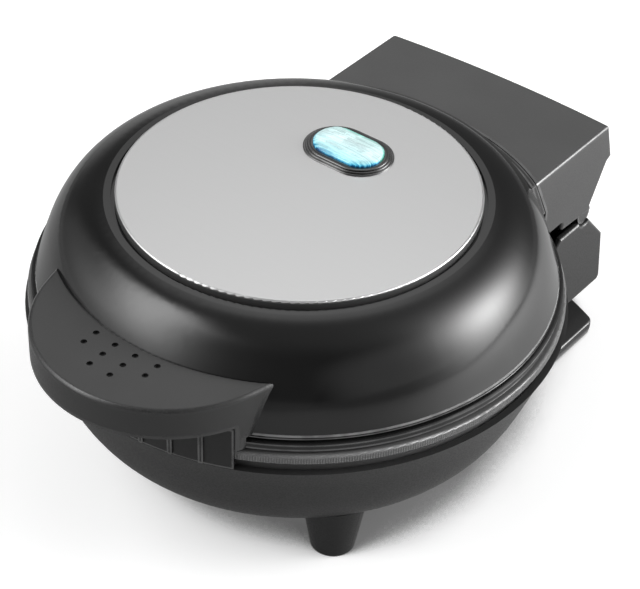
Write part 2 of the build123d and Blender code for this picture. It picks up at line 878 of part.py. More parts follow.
block_top_z = block_floor_z + block_h
lead_foot_z = block_top_z - block_way_depth + seat_gap
element_x, element_back = element_place(1)
fuse_front = element_back + fuse_gap
lead_run_z = lower_seat_z - element_leg - element_pin_l / 2
upper_lead_z = upper_seat_z + upper_element_leg + element_pin_l / 2
with BuildPart() as inner_leads:
    # from the element pins through the bowl's rear window to the block
    for side in (-1, 1):
        add_lead(
            (
                (side * element_x, element_back + element_pin_r + seat_gap, lead_run_z),
                (side * element_x, block_back, lead_run_z),
                (side * element_x, block_back, lead_foot_z),
            ),
            lead_bend_r,
        )
    # from the thermostat tabs down through the reflector's eye, then back
    thermostat_low_z = lower_back_z - thermostat_h - thermostat_tab_l - seat_gap
    add_lead(
        (
            (thermostat_tab_x, 0, thermostat_low_z),
            (thermostat_tab_x, 0, lead_run_z),
            (thermostat_tab_x, block_back, lead_run_z),
            (thermostat_tab_x, block_back, lead_foot_z),
        ),
        lead_bend_r,
    )
    add_lead(
        (
            (-thermostat_tab_x, 0, thermostat_low_z),
            (-thermostat_tab_x, 0, lead_run_z),
            (-thermostat_tab_x, fuse_front, lead_run_z),
        ),
        lead_bend_r,
    )
    add_lead(
        (
            (-thermostat_tab_x, fuse_front + fuse_l, lead_run_z),
            (-thermostat_tab_x, block_back, lead_run_z),
            (-thermostat_tab_x, block_back, lead_foot_z),
        ),
        lead_bend_r,
    )
    # tails towards the lid, which end beside the hinge
    with BuildSketch(level(lead_foot_z)):
        with Locations((-lead_outer_x, block_back), (lead_outer_x, block_back)):
            Circle(lead_r)
    extrude(amount=hinge_z - lead_break - lead_foot_z)
inner_leads.part.label = "inner_leads"
export_step(inner_leads.part, "parts/inner_leads.step")

with BuildPart() as thermal_fuse:
    with BuildSketch(rearward(-thermostat_tab_x, fuse_front, lead_run_z)):
        Circle(fuse_r)
    extrude(amount=fuse_l)
    fillet(thermal_fuse.edges().filter_by(GeomType.CIRCLE), fuse_r / 3)
thermal_fuse.part.label = "thermal_fuse"
export_step(thermal_fuse.part, "parts/thermal_fuse.step")

# ======================================================================
# Lower hinge housing, pins, cord gland and cord tongue
# ======================================================================
def shifted(point, angle, side):
    """Point moved across a slanted face by a wall, to one side or the other."""
    a = radians(angle)
    return (point[0] - side * housing_t * sin(a), point[1] + side * housing_t * cos(a))


def lower_side():
    """Side outline of the lower housing, in an upright plane."""
    barrel_low = (hinge_back - sqrt(hinge_relief_r**2 - (hinge_z - lower_top_z) ** 2), lower_top_z)
    with BuildLine() as outline:
        Polyline(
            about_pivot(hinge_relief_r, lower_chamfer),
            about_pivot(lower_knee, lower_chamfer),
            (rear_reach, lower_heel_z),
            (rear_reach, lower_floor_z),
            (lower_toe_back, lower_floor_z),
            (housing_root, bowl_lift + bowl_heel),
            (housing_root, lower_step_z),
            (lower_step_back, lower_step_z),
            (lower_ramp_back, lower_top_z),
            barrel_low,
        )
        barrel_foot = about_pivot(hinge_relief_r, -90)
        ThreePointArc(barrel_low, barrel_foot, about_pivot(hinge_relief_r, lower_chamfer))
    return outline.line


with BuildPart() as lower_hinge_housing:
    with BuildSketch(upright(0)):
        make_face(lower_side())
        fillet(vertices().sort_by_distance((rear_reach, lower_floor_z))[0], lower_foot_r)
    extrude(amount=housing_half_w, both=True)
    side_faces = lower_hinge_housing.faces().filter_by(Axis.X)
    fillet(side_faces.edges(), housing_edge_r)
    # hollow, open at the top under the lid's housing
    with BuildSketch(upright(0)):
        with BuildLine():
            wall_top = shifted(about_pivot(hinge_relief_r, lower_chamfer), lower_chamfer, -1)
            wall_knee = shifted(about_pivot(lower_knee, lower_chamfer), lower_chamfer, -1)
            Polyline(
                (wall_top[0], hinge_z + hinge_relief_r),
                wall_top,
                wall_knee,
                (rear_reach - housing_t, lower_heel_z),
                (rear_reach - housing_t, lower_floor_z + housing_t),
                (lower_toe_back, lower_floor_z + housing_t),
                (housing_root, bowl_lift + bowl_heel + housing_t),
                (housing_root, hinge_z + hinge_relief_r),
                close=True,
            )
        make_face()
    extrude(amount=housing_half_w - housing_t, both=True, mode=Mode.SUBTRACT)
    # ears that carry the pins
    for side in (-1, 1):
        with BuildSketch(upright(side * ear_x)):
            with Locations((hinge_back, hinge_z)):
                Circle(knuckle_r)
            with BuildLine():
                Polyline(
                    (hinge_back, hinge_z),
                    (hinge_back - knuckle_r, hinge_z),
                    (hinge_back - ear_foot_half, lower_floor_z + housing_t / 2),
                    (hinge_back + ear_foot_half, lower_floor_z + housing_t / 2),
                    about_pivot(knuckle_r / cos(radians(lower_chamfer)), lower_chamfer),
                    close=True,
                )
            make_face()
        extrude(amount=side * ear_t)
    # screw bosses of the bowl screws, ribbed down to the floor
    for a in housing_screw_angles:
        with BuildSketch(outward(a, housing_root, housing_screw_z)):
            Circle(rib_boss_r)
        extrude(amount=bowl_side_reach + rib_boss_out - housing_root)
        rib_start = lower_toe_back / -cos(radians(a)) + rib_boss_r
        rib_foot = lower_floor_z + housing_t / 2
        with BuildSketch(outward(a, rib_start, (rib_foot + housing_screw_z) / 2)):
            Rectangle(2 * rib_boss_r, housing_screw_z - rib_foot)
        extrude(amount=bowl_side_reach + rib_boss_out - rib_start)
    # bosses of the tongue screws
    with BuildSketch(level(lower_floor_z + housing_t / 2)):
        with Locations((-tongue_screw_x, tongue_screw_back), (tongue_screw_x, tongue_screw_back)):
            Circle(rib_boss_r)
    extrude(amount=tongue_boss_h)
    # room for the bowl
    add(bowl_plug(seat_gap), mode=Mode.SUBTRACT)
    # holes
    with Locations(*[outward(a, housing_root, housing_screw_z) for a in housing_screw_angles]):
        Cylinder(
            screw_r + pilot_fit,
            bowl_side_reach + rib_boss_out - housing_root,
            align=FROM_FOOT,
            mode=Mode.SUBTRACT,
        )
    with BuildSketch(upright(0)):
        with Locations((hinge_back, hinge_z)):
            Circle(pin_r + pin_press)
    extrude(amount=ear_x + ear_t + ear_gap, both=True, mode=Mode.SUBTRACT)
    with BuildSketch(level(lower_floor_z)):
        with Locations((-tongue_screw_x, tongue_screw_back), (tongue_screw_x, tongue_screw_back)):
            Circle(screw_r + pilot_fit)
    extrude(amount=tongue_boss_h, mode=Mode.SUBTRACT)
    # seat and hole of the cord gland in the rear wall
    with BuildSketch(rearward(0, rear_reach, gland_z)):
        Circle(gland_flange_r + seat_gap)
    extrude(amount=-gland_flange_t, mode=Mode.SUBTRACT)
    with BuildSketch(rearward(0, rear_reach, gland_z)):
        Circle(gland_r + pilot_fit)
    extrude(amount=-gland_l, mode=Mode.SUBTRACT)
lower_hinge_housing.part.label = "lower_hinge_housing"
export_step(lower_hinge_housing.part, "parts/lower_hinge_housing.step")

with BuildPart() as hinge_pins:
    for side in (-1, 1):
        with BuildSketch(upright(side * (ear_x - pin_head_t))):
            with Locations((hinge_back, hinge_z)):
                Circle(pin_head_r)
        extrude(amount=side * pin_head_t)
        with BuildSketch(upright(side * ear_x)):
            with Locations((hinge_back, hinge_z)):
                Circle(pin_r)
        extrude(amount=side * pin_l)
hinge_pins.part.label = "hinge_pins"
export_step(hinge_pins.part, "parts/hinge_pins.step")

with BuildPart() as cord_gland:
    with BuildSketch(rearward(0, rear_reach, gland_z)):
        Circle(gland_flange_r)
    extrude(amount=-gland_flange_t)
    with BuildSketch(rearward(0, rear_reach, gland_z)):
        Circle(gland_r)
    extrude(amount=-gland_l)
    with BuildSketch(rearward(0, rear_reach, gland_z)):
        Circle(gland_bore_r)
    extrude(amount=-gland_l, mode=Mode.SUBTRACT)
cord_gland.part.label = "cord_gland"
export_step(cord_gland.part, "parts/cord_gland.step")

neck_drop = lower_floor_z - (tongue_top_z - tongue_t)
with BuildPart() as cord_tongue:
    with BuildSketch(level(tongue_top_z - tongue_t)):
        Circle(tongue_r)
        with Locations((0, (tongue_front + 2 * tongue_r) / 2)):
            Rectangle(2 * tongue_half_w, 2 * tongue_r - tongue_front, mode=Mode.INTERSECT)
        fillet(vertices(), tongue_corner_r)
    extrude(amount=tongue_t)
    fillet(cord_tongue.faces().sort_by(Axis.Z)[-1].edges(), tongue_edge_r)
    with BuildSketch(level(tongue_top_z - tongue_t)):
        with Locations((0, tongue_screw_back)):
            RectangleRounded(2 * neck_half_w, 2 * neck_half_l, tongue_corner_r)
    extrude(amount=neck_drop)
    with BuildSketch(level(tongue_top_z - tongue_t)):
        with Locations((-tongue_screw_x, tongue_screw_back), (tongue_screw_x, tongue_screw_back)):
            Circle(screw_r + screw_fit)
    extrude(amount=neck_drop, mode=Mode.SUBTRACT)
    with BuildSketch(level(tongue_top_z - tongue_t)):
        with Locations((-tongue_screw_x, tongue_screw_back), (tongue_screw_x, tongue_screw_back)):
            Circle(screw_head_r + screw_fit)
    extrude(amount=tongue_t, mode=Mode.SUBTRACT)
cord_tongue.part.label = "cord_tongue"
export_step(cord_tongue.part, "parts/cord_tongue.step")

with BuildPart() as tongue_screws:
    for side in (-1, 1):
        seat = Plane(origin=(side * tongue_screw_x, axis_y + tongue_screw_back, tongue_top_z))
        add_screw(seat, lower_floor_z + tongue_screw_bite - tongue_top_z)
tongue_screws.part.label = "tongue_screws"
export_step(tongue_screws.part, "parts/tongue_screws.step")

with BuildPart() as lower_housing_screws:
    for a in housing_screw_angles:
        seat = outward(a, bowl_side_reach - shell_t + wall_spot, housing_screw_z)
        add_screw(seat, shell_t - wall_spot + rib_boss_out - pilot_end)
lower_housing_screws.part.label = "lower_housing_screws"
export_step(lower_housing_screws.part, "parts/lower_housing_screws.step")

# ======================================================================
# Feet
# ======================================================================
with BuildPart() as feet:
    with BuildSketch(level(pad_stand)):
        with Locations(*foot_places):
            Circle(foot_r)
    extrude(amount=foot_height, taper=-foot_taper)
    add(bowl_plug(seat_gap), mode=Mode.SUBTRACT)
    with BuildSketch(level(pad_stand)):
        with Locations(*foot_places):
            Circle(pad_r + seat_gap)
    extrude(amount=pad_t - pad_stand, mode=Mode.SUBTRACT)
    with BuildSketch(level(pad_stand)):
        with Locations(*foot_places):
            Circle(screw_r + screw_fit)
    extrude(amount=foot_height, mode=Mode.SUBTRACT)
    with BuildSketch(level(pad_stand)):
        with Locations(*foot_places):
            Circle(screw_head_r + screw_fit)
    extrude(amount=foot_seat_z - pad_stand, mode=Mode.SUBTRACT)
feet.part.label = "feet"
export_step(feet.part, "parts/feet.step")

with BuildPart() as foot_pads:
    with BuildSketch(level(0)):
        with Locations(*foot_places):
            Circle(pad_r)
            Circle(pad_hole_r, mode=Mode.SUBTRACT)
    extrude(amount=pad_t)
foot_pads.part.label = "foot_pads"
export_step(foot_pads.part, "parts/foot_pads.step")

with BuildPart() as foot_screws:
    for x, y in foot_places:
        add_screw(Plane(origin=(x, axis_y + y, foot_seat_z)), foot_screw_l)
foot_screws.part.label = "foot_screws"
export_step(foot_screws.part, "parts/foot_screws.step")

# ======================================================================
# Lid: rim with its rear collar, dome, steel disc
# ======================================================================
rim_top_z = dome_z
rim_edge_r = rim_r - rim_groove_in
with BuildPart() as lid_rim:
    with BuildSketch(SECTION):
        with BuildLine():
            Polyline(
                (plate_r + plate_gap, lid_z),
                (rim_r, lid_z),
                (rim_r, lid_z + rim_band_h),
                (rim_edge_r, lid_z + rim_band_h + rim_groove_h / 5),
                (rim_edge_r, lid_z + rim_band_h + rim_groove_h / 2),
                (dome_r + rim_bead, lid_z + rim_band_h + rim_groove_h / 2 + rim_bead),
                (dome_r + rim_bead, rim_top_z - rim_bead),
                (rim_edge_r, rim_top_z),
                (dome_r - dome_t - rim_lip_gap, rim_top_z),
                (dome_r - dome_t - rim_lip_gap, rim_top_z + rim_lip_h),
                (dome_r - dome_t - rim_lip_gap - rim_lip_t, rim_top_z + rim_lip_h),
                (dome_r - dome_t - rim_lip_gap - rim_lip_t, lid_z + plate_t),
                (plate_r + plate_gap, lid_z + plate_t),
                close=True,
            )
        make_face()
    revolve(axis=BODY_AXIS)
    # collar that closes the gap between the dome and the hinge housing
    with BuildPart(mode=Mode.PRIVATE) as collar:
        with BuildSketch(SECTION):
            with BuildLine():
                Polyline(
                    (rim_edge_r, collar_foot_z),
                    (collar_foot_r, collar_foot_z),
                    (collar_top_r, upper_top_z),
                    (shoulder_r, upper_top_z),
                    (shoulder_r, rim_top_z),
                    (rim_edge_r, rim_top_z),
                    close=True,
                )
            make_face()
        revolve(axis=BODY_AXIS)
        add(dome_plug(collar_gap), mode=Mode.SUBTRACT)
        with BuildSketch(level(lid_z)):
            with Locations((0, bowl_r)):
                Rectangle(2 * housing_half_w, 2 * bowl_r)
        extrude(amount=upper_top_z, mode=Mode.INTERSECT)
    add(collar.part)
    # way for the leads and holes for the housing's screws
    with BuildSketch(rearward(0, 0, lid_window_z)):
        RectangleRounded(wire_window_w, lid_window_h, wire_window_r)
    extrude(amount=1.5 * bowl_r, mode=Mode.SUBTRACT)
    with Locations(*[outward(a, bowl_r / 2, upper_screw_z) for a in housing_screw_angles]):
        Cylinder(screw_r + screw_fit, bowl_r, align=FROM_FOOT, mode=Mode.SUBTRACT)
lid_rim.part.label = "lid_rim"
export_step(lid_rim.part, "parts/lid_rim.step")

groove_r = disc_r + disc_gap
with BuildPart() as lid_dome:
    with BuildSketch(SECTION):
        with BuildLine():
            outer = Bezier(*dome_curve(0))
            inner = Bezier(*dome_curve(dome_t))
            Line(outer @ 0, inner @ 0)
            Polyline(
                outer @ 1,
                (groove_r, shoulder_z),
                (groove_r, seat_z),
                (0, seat_z),
                (0, seat_z - disc_seat_t),
                (groove_r - dome_t, seat_z - disc_seat_t),
                inner @ 1,
            )
        make_face()
    revolve(axis=BODY_AXIS)
    # posts that the upper plate hangs from
    with BuildSketch(level(seat_z - disc_seat_t)):
        with bolt_circle():
            Circle(post_r)
    extrude(amount=upper_shelf_z + reflector_t - seat_z + disc_seat_t)
    with BuildSketch(level(seat_z)):
        with bolt_circle():
            Circle(screw_r + screw_fit)
    extrude(amount=upper_shelf_z + reflector_t - seat_z, mode=Mode.SUBTRACT)
    with BuildSketch(level(seat_z)):
        with bolt_circle():
            Circle(screw_head_r + screw_fit)
    extrude(amount=-screw_head_h - screw_fit, mode=Mode.SUBTRACT)
    # opening under the indicator, and screw holes of the lamp holder
    with BuildSketch(level(seat_z)):
        with Locations((0, lamp_back)):
            SlotOverall(sleeve_l + 2 * seat_gap, sleeve_w + 2 * seat_gap)
    extrude(amount=-disc_seat_t, mode=Mode.SUBTRACT)
    with BuildSketch(level(seat_z)):
        with Locations((-holder_screw_x, lamp_back), (holder_screw_x, lamp_back)):
            Circle(screw_r + pilot_fit)
    extrude(amount=-disc_seat_t, mode=Mode.SUBTRACT)
    # way for the leads
    with BuildSketch(rearward(0, 0, lid_window_z)):
        RectangleRounded(wire_window_w, lid_window_h, wire_window_r)
    extrude(amount=bowl_r, mode=Mode.SUBTRACT)
    # holes and flats of the screws that hold the handle and the hinge housing
    rear_screws = [(a, upper_screw_z) for a in housing_screw_angles]
    front_screws = [(a, handle_screw_z) for a in handle_screw_angles]
    for a, z in rear_screws + front_screws:
        spot = wall_reach(dome_curve(0), z) - dome_t + wall_spot
        with Locations(outward(a, spot - 2 * screw_head_h, z)):
            Cylinder(screw_r + screw_fit, 4 * screw_head_h, align=FROM_FOOT, mode=Mode.SUBTRACT)
            Cylinder(screw_head_r + screw_fit, 2 * screw_head_h, align=FROM_FOOT, mode=Mode.SUBTRACT)
lid_dome.part.label = "lid_dome"
export_step(lid_dome.part, "parts/lid_dome.step")

with BuildPart() as top_disc:
    with BuildSketch(level(seat_z)):
        Circle(disc_r)
    extrude(amount=disc_skirt_h)
    fillet(top_disc.faces().sort_by(Axis.Z)[-1].edges(), disc_edge_r + disc_t)
    with BuildSketch(level(seat_z)):
        Circle(disc_r - disc_t)
    extrude(amount=disc_skirt_h - disc_t, mode=Mode.SUBTRACT)
    with BuildSketch(level(disc_top_z)):
        with Locations((0, lamp_back)):
            SlotOverall(sleeve_l + 2 * seat_gap, sleeve_w + 2 * seat_gap)
    extrude(amount=-disc_t, mode=Mode.SUBTRACT)
top_disc.part.label = "top_disc"
export_step(top_disc.part, "parts/top_disc.step")

# ======================================================================
# Lid: indicator window
# ======================================================================
with BuildPart() as indicator_bezel:
    # steps that rise towards the window
    for i in range(bezel_steps):
        inset = 2 * i * bezel_step_in
        with BuildSketch(level(disc_top_z)):
            with Locations((0, lamp_back)):
                SlotOverall(bezel_l - inset, bezel_w - inset)
        extrude(amount=bezel_h * (i + 1) / bezel_steps)
        fillet(indicator_bezel.faces().sort_by(Axis.Z)[-1].edges(), bezel_edge_r)
    # sleeve that goes down through the disc and the seat
    with BuildSketch(level(disc_top_z)):
        with Locations((0, lamp_back)):
            SlotOverall(sleeve_l, sleeve_w)
    extrude(amount=seat_z - disc_seat_t - disc_top_z)
    # window, with a ledge for the lens
    with BuildSketch(level(lens_seat_z)):
        with Locations((0, lamp_back)):
            SlotOverall(lens_l + 2 * seat_gap, lens_w + 2 * seat_gap)
    extrude(amount=disc_top_z + bezel_h - lens_seat_z, mode=Mode.SUBTRACT)
    with BuildSketch(level(lens_seat_z)):
        with Locations((0, lamp_back)):
            SlotOverall(lens_l - 2 * lens_ledge, lens_w - 2 * lens_ledge)
    extrude(amount=seat_z - disc_seat_t - lens_seat_z, mode=Mode.SUBTRACT)
indicator_bezel.part.label = "indicator_bezel"
export_step(indicator_bezel.part, "parts/indicator_bezel.step")

# lens: a wall with a facet round its top, crowned by two crossed bows a
# little wider than the window, with flutes along it
bow_half_w = lens_w / 2 + lens_over
bow_half_l = lens_l / 2 + lens_over
bow_r = (bow_half_w**2 + lens_rise**2) / (2 * lens_rise)
lens_brow_z = disc_top_z + bezel_h + lens_wall_h
half_bow = asin(bow_half_w / bow_r)


def bow_point(step, lift):
    """Point of the cross bow; whole steps are the valleys between flutes."""
    a = half_bow * (2 * step / flute_n - 1)
    return ((bow_r + lift) * sin(a), lens_brow_z + lens_rise - bow_r + (bow_r + lift) * cos(a))


with BuildPart() as indicator_lens:
    with BuildSketch(level(lens_seat_z)):
        with Locations((0, lamp_back)):
            SlotOverall(lens_l, lens_w)
    extrude(amount=lens_brow_z - lens_seat_z)
    with BuildSketch(level(lens_brow_z)):
        with Locations((0, lamp_back)):
            SlotOverall(lens_l, lens_w)
    extrude(amount=lens_rise + flute_depth, taper=lens_facet)
    with BuildSketch(Plane(origin=(0, axis_y + lamp_back, 0), x_dir=(0, 1, 0), z_dir=(1, 0, 0))):
        with BuildLine():
            for i in range(flute_n):
                ThreePointArc(bow_point(i, 0), bow_point(i + 0.5, flute_depth), bow_point(i + 1, 0))
            Polyline(
                bow_point(flute_n, 0),
                (bow_point(flute_n, 0)[0], lens_seat_z),
                (bow_point(0, 0)[0], lens_seat_z),
                bow_point(0, 0),
            )
        make_face()
    extrude(amount=bow_half_l, both=True, mode=Mode.INTERSECT)
    with BuildSketch(forward(0, lamp_back, 0)):
        with BuildLine():
            brow = ThreePointArc(
                (-bow_half_l, lens_brow_z),
                (0, lens_brow_z + lens_rise + 2 * flute_depth),
                (bow_half_l, lens_brow_z),
            )
            Polyline(brow @ 1, (bow_half_l, lens_seat_z), (-bow_half_l, lens_seat_z), brow @ 0)
        make_face()
    extrude(amount=bow_half_w, both=True, mode=Mode.INTERSECT)
indicator_lens.part.label = "indicator_lens"
export_step(indicator_lens.part, "parts/indicator_lens.step")

with BuildPart() as lamp_holder:
    with BuildSketch(level(holder_top_z)):
        with Locations((0, lamp_back)):
            SlotOverall(holder_l, holder_w)
    extrude(amount=-holder_h)
    with BuildSketch(level(holder_top_z)):
        with Locations((0, lamp_back)):
            RectangleRounded(lens_l - 2 * lens_ledge, holder_w - 2 * holder_t, holder_corner_r)
    extrude(amount=-holder_h + holder_t, mode=Mode.SUBTRACT)
    # cradles of the two lamps
    with BuildSketch(level(holder_top_z - holder_h + holder_t)):
        with Locations((0, lamp_back)):
            with GridLocations(lamp_pitch, lamp_l - holder_t, 2, 2):
                Rectangle(2 * lamp_r, holder_t)
    extrude(amount=lamp_r)
    with BuildSketch(forward(0, lamp_back, lamp_z)):
        with Locations((-lamp_pitch / 2, 0), (lamp_pitch / 2, 0)):
            Circle(lamp_r + seat_gap)
    extrude(amount=lamp_l / 2 + seat_gap, both=True, mode=Mode.SUBTRACT)
    with BuildSketch(level(holder_top_z)):
        with Locations((-holder_screw_x, lamp_back), (holder_screw_x, lamp_back)):
            Circle(screw_r + screw_fit)
    extrude(amount=-holder_h, mode=Mode.SUBTRACT)
lamp_holder.part.label = "lamp_holder"
export_step(lamp_holder.part, "parts/lamp_holder.step")

with BuildPart() as lamp_holder_screws:
    for side in (-1, 1):
        seat = Plane(origin=(side * holder_screw_x, axis_y + lamp_back, holder_top_z - holder_h))
        add_screw(seat, holder_h + disc_seat_t)
lamp_holder_screws.part.label = "lamp_holder_screws"
export_step(lamp_holder_screws.part, "parts/lamp_holder_screws.step")

with BuildPart() as indicator_lamps:
    with BuildSketch(forward(0, lamp_back, lamp_z)):
        with Locations((-lamp_pitch / 2, 0), (lamp_pitch / 2, 0)):
            Circle(lamp_r)
    extrude(amount=lamp_l / 2, both=True)
    fillet(indicator_lamps.edges().filter_by(GeomType.CIRCLE), lamp_r / 2)
indicator_lamps.part.label = "indicator_lamps"
export_step(indicator_lamps.part, "parts/indicator_lamps.step")

# ======================================================================
# Lid: handle
# ======================================================================
def grip_outline(inset):
    """Handle seen from above: a front arc, tangent to two flanks that splay."""
    r = grip_r - inset
    tangent_x = r * cos(lean)
    tangent_y = grip_y - r * sin(lean)
    root_x = tangent_x - tangent_y * tan(lean)
    with BuildLine() as outline:
        Polyline((-tangent_x, tangent_y), (-root_x, 0), (root_x, 0), (tangent_x, tangent_y))
        ThreePointArc((tangent_x, tangent_y), (0, grip_y - r), (-tangent_x, tangent_y))
    return outline.line


with BuildPart() as lid_handle:
    with BuildSketch(level(handle_skirt_z)):
        make_face(grip_outline(0))
    extrude(amount=handle_h)
    fillet(lid_handle.faces().sort_by(Axis.Z)[-1].edges(), handle_edge_r)
    # roots that run down beside the finger guard to the foot of the rim
    with BuildSketch(level(lid_z)) as roots:
        make_face(grip_outline(0))
        Circle(guard_r, mode=Mode.INTERSECT)
        Polygon(*wedge_points(guard_half + root_guard_angle, 2 * guard_r, -1), align=None, mode=Mode.SUBTRACT)
    extrude(amount=handle_skirt_z - lid_z)
    # finger space
    with BuildSketch(level(lid_z)):
        make_face(grip_outline(handle_wall_t))
    extrude(amount=handle_top_z - handle_t - lid_z, mode=Mode.SUBTRACT)
    # bosses for the screws from inside the dome, hung from the top
    for a in handle_screw_angles:
        with BuildSketch(outward(a, shoulder_r, handle_screw_z)):
            Circle(rib_boss_r)
            with Locations((0, (handle_top_z - handle_t / 2 - handle_screw_z) / 2)):
                Rectangle(2 * rib_boss_r, handle_top_z - handle_t / 2 - handle_screw_z)
        extrude(amount=wall_reach(dome_curve(0), handle_screw_z) + rib_boss_out - shoulder_r)
    # room for the dome and the rim
    add(dome_plug(seat_gap), mode=Mode.SUBTRACT)
    with BuildSketch(level(lid_z)):
        Circle(rim_r + seat_gap)
    extrude(amount=dome_z - lid_z, mode=Mode.SUBTRACT)
    with BuildSketch(level(lid_z)):
        Circle(shoulder_r)
    extrude(amount=handle_top_z - lid_z, mode=Mode.SUBTRACT)
    # rounded edge beside the dome
    with BuildSketch(SECTION):
        seam_r = wall_reach(dome_curve(-seat_gap), handle_top_z)
        with Locations((seam_r, handle_top_z)):
            Rectangle(2 * handle_seam_r, 2 * handle_seam_r)
        with Locations((seam_r + handle_seam_r, handle_top_z - handle_seam_r)):
            Circle(handle_seam_r, mode=Mode.SUBTRACT)
    revolve(axis=BODY_AXIS, mode=Mode.SUBTRACT)
    # pilot holes
    for a in handle_screw_angles:
        with Locations(outward(a, shoulder_r, handle_screw_z)):
            Cylinder(
                screw_r + pilot_fit,
                wall_reach(dome_curve(0), handle_screw_z) + rib_boss_out - shoulder_r - pilot_end,
                align=FROM_FOOT,
                mode=Mode.SUBTRACT,
            )
    # grip pips, in rows that bow a little
    with BuildSketch(level(handle_top_z)):
        for row_back, places in pip_rows:
            with Locations(*[(x, row_back - front_reach + pip_bow * x * x) for x in places]):
                Circle(pip_r)
    extrude(amount=-pip_depth, mode=Mode.SUBTRACT)
lid_handle.part.label = "lid_handle"
export_step(lid_handle.part, "parts/lid_handle.step")

with BuildPart() as handle_screws:
    for a in handle_screw_angles:
        spot = wall_reach(dome_curve(0), handle_screw_z) - dome_t + wall_spot
        add_screw(outward(a, spot, handle_screw_z), dome_t - wall_spot + rib_boss_out - 2 * pilot_end)
handle_screws.part.label = "handle_screws"
export_step(handle_screws.part, "parts/handle_screws.step")

# ======================================================================
# Lid: hinge housing
# ======================================================================
upper_heel_low = about_pivot(upper_slant_far, upper_slant)
upper_slant_end = about_pivot(upper_slant_near, upper_slant)


def bowed_back(inset):
    """Block behind the heel, whose back bows out towards the upper edge."""
    half_w = housing_half_w - inset
    low_back = upper_heel_back - inset
    top_back = upper_back - inset
    with BuildPart() as block:
        with BuildSketch(level(upper_heel_z)) as low:
            with BuildLine():
                Polyline(
                    (half_w, low_back),
                    (-half_w, low_back),
                    (-half_w, hinge_back),
                    (half_w, hinge_back),
                    close=True,
                )
            make_face()
        with BuildSketch(level(upper_top_z - inset)) as top:
            with BuildLine():
                ThreePointArc((half_w, top_back), (0, top_back + upper_bow), (-half_w, top_back))
                Polyline((-half_w, top_back), (-half_w, hinge_back), (half_w, hinge_back), (half_w, top_back))
            make_face()
        loft((low.sketch, top.sketch), ruled=True)
    return block.part


with BuildPart() as upper_hinge_housing:
    with BuildSketch(upright(0)):
        with BuildLine():
            Polyline(
                (housing_root, upper_top_z),
                (upper_back, upper_top_z),
                (upper_heel_back, upper_heel_z),
                upper_heel_low,
                upper_slant_end,
                (upper_hem_back, upper_hem_z),
                (collar_foot_r, upper_hem_z + upper_hem_lift),
                (collar_foot_r, upper_notch_z),
                (housing_root, upper_notch_z),
                close=True,
            )
        make_face()
        fillet(vertices().sort_by_distance((collar_foot_r, upper_notch_z))[0], housing_edge_r)
        fillet(vertices().sort_by_distance((collar_foot_r, upper_hem_z + upper_hem_lift))[0], housing_edge_r)
    extrude(amount=housing_half_w, both=True)
    add(bowed_back(0))
    fillet(upper_hinge_housing.faces().sort_by(Axis.Z)[-1].edges().sort_by(Axis.Y)[-1], upper_corner_r)
    fillet(upper_hinge_housing.faces().filter_by(Axis.X).edges(), housing_edge_r)
    # hollow, open below
    with BuildSketch(upright(0)):
        with BuildLine():
            wall_heel = shifted(upper_heel_low, upper_slant, 1)
            wall_end = shifted(upper_slant_end, upper_slant, 1)
            Polyline(
                (housing_root, upper_top_z - housing_t),
                (upper_back - housing_t, upper_top_z - housing_t),
                (upper_heel_back - housing_t, upper_heel_z),
                wall_heel,
                wall_end,
                (wall_end[0], hinge_z - hinge_relief_r),
                (housing_root, hinge_z - hinge_relief_r),
                close=True,
            )
        make_face()
    extrude(amount=housing_half_w - housing_t, both=True, mode=Mode.SUBTRACT)
    add(bowed_back(housing_t), mode=Mode.SUBTRACT)
    # knuckles at both ends and the barrel between the ears
    for side in (-1, 1):
        with BuildSketch(upright(side * (housing_half_w - housing_t / 2))):
            with Locations((hinge_back, hinge_z)):
                Circle(knuckle_r)
            with Locations((hinge_back + web_shift, hinge_z + web_h / 2)):
                Rectangle(web_w, web_h)
        extrude(amount=-side * (hinge_boss_l + housing_t / 2))
    with BuildSketch(upright(-barrel_half_w)):
        with Locations((hinge_back, hinge_z)):
            Circle(knuckle_r)
    extrude(amount=2 * barrel_half_w)
    # room for the ears and the pins' heads
    for side in (-1, 1):
        with BuildSketch(upright(side * (barrel_half_w + ear_gap))):
            with Locations((hinge_back, hinge_z)):
                Circle(hinge_relief_r)
        extrude(amount=side * (ear_x + ear_t - barrel_half_w), mode=Mode.SUBTRACT)
    # bosses for the screws from inside the dome, hung from the top
    for a in housing_screw_angles:
        with BuildSketch(outward(a, housing_root, upper_screw_z)):
            Circle(rib_boss_r)
            with Locations((0, (upper_top_z - housing_t / 2 - upper_screw_z) / 2)):
                Rectangle(2 * rib_boss_r, upper_top_z - housing_t / 2 - upper_screw_z)
        extrude(amount=wall_reach(dome_curve(0), upper_screw_z) + rib_boss_out - housing_root)
    # room for the base below and the collar above
    with BuildSketch(SECTION):
        with BuildLine():
            Polyline(
                (0, hinge_z),
                (collar_foot_r + collar_gap, hinge_z),
                (collar_foot_r + collar_gap, collar_foot_z),
                (collar_top_r + collar_gap, upper_top_z),
                (0, upper_top_z),
                close=True,
            )
        make_face()
    revolve(axis=BODY_AXIS, mode=Mode.SUBTRACT)
    # pilot holes and pin bores
    for a in housing_screw_angles:
        with Locations(outward(a, housing_root, upper_screw_z)):
            Cylinder(
                screw_r + pilot_fit,
                wall_reach(dome_curve(0), upper_screw_z) + rib_boss_out - housing_root - pilot_end,
                align=FROM_FOOT,
                mode=Mode.SUBTRACT,
            )
    for side in (-1, 1):
        with BuildSketch(upright(side * (ear_x + ear_t))):
            with Locations((hinge_back, hinge_z)):
                Circle(pin_r + pin_fit)
        extrude(amount=side * (ear_gap + hinge_boss_l), mode=Mode.SUBTRACT)
upper_hinge_housing.part.label = "upper_hinge_housing"
export_step(upper_hinge_housing.part, "parts/upper_hinge_housing.step")

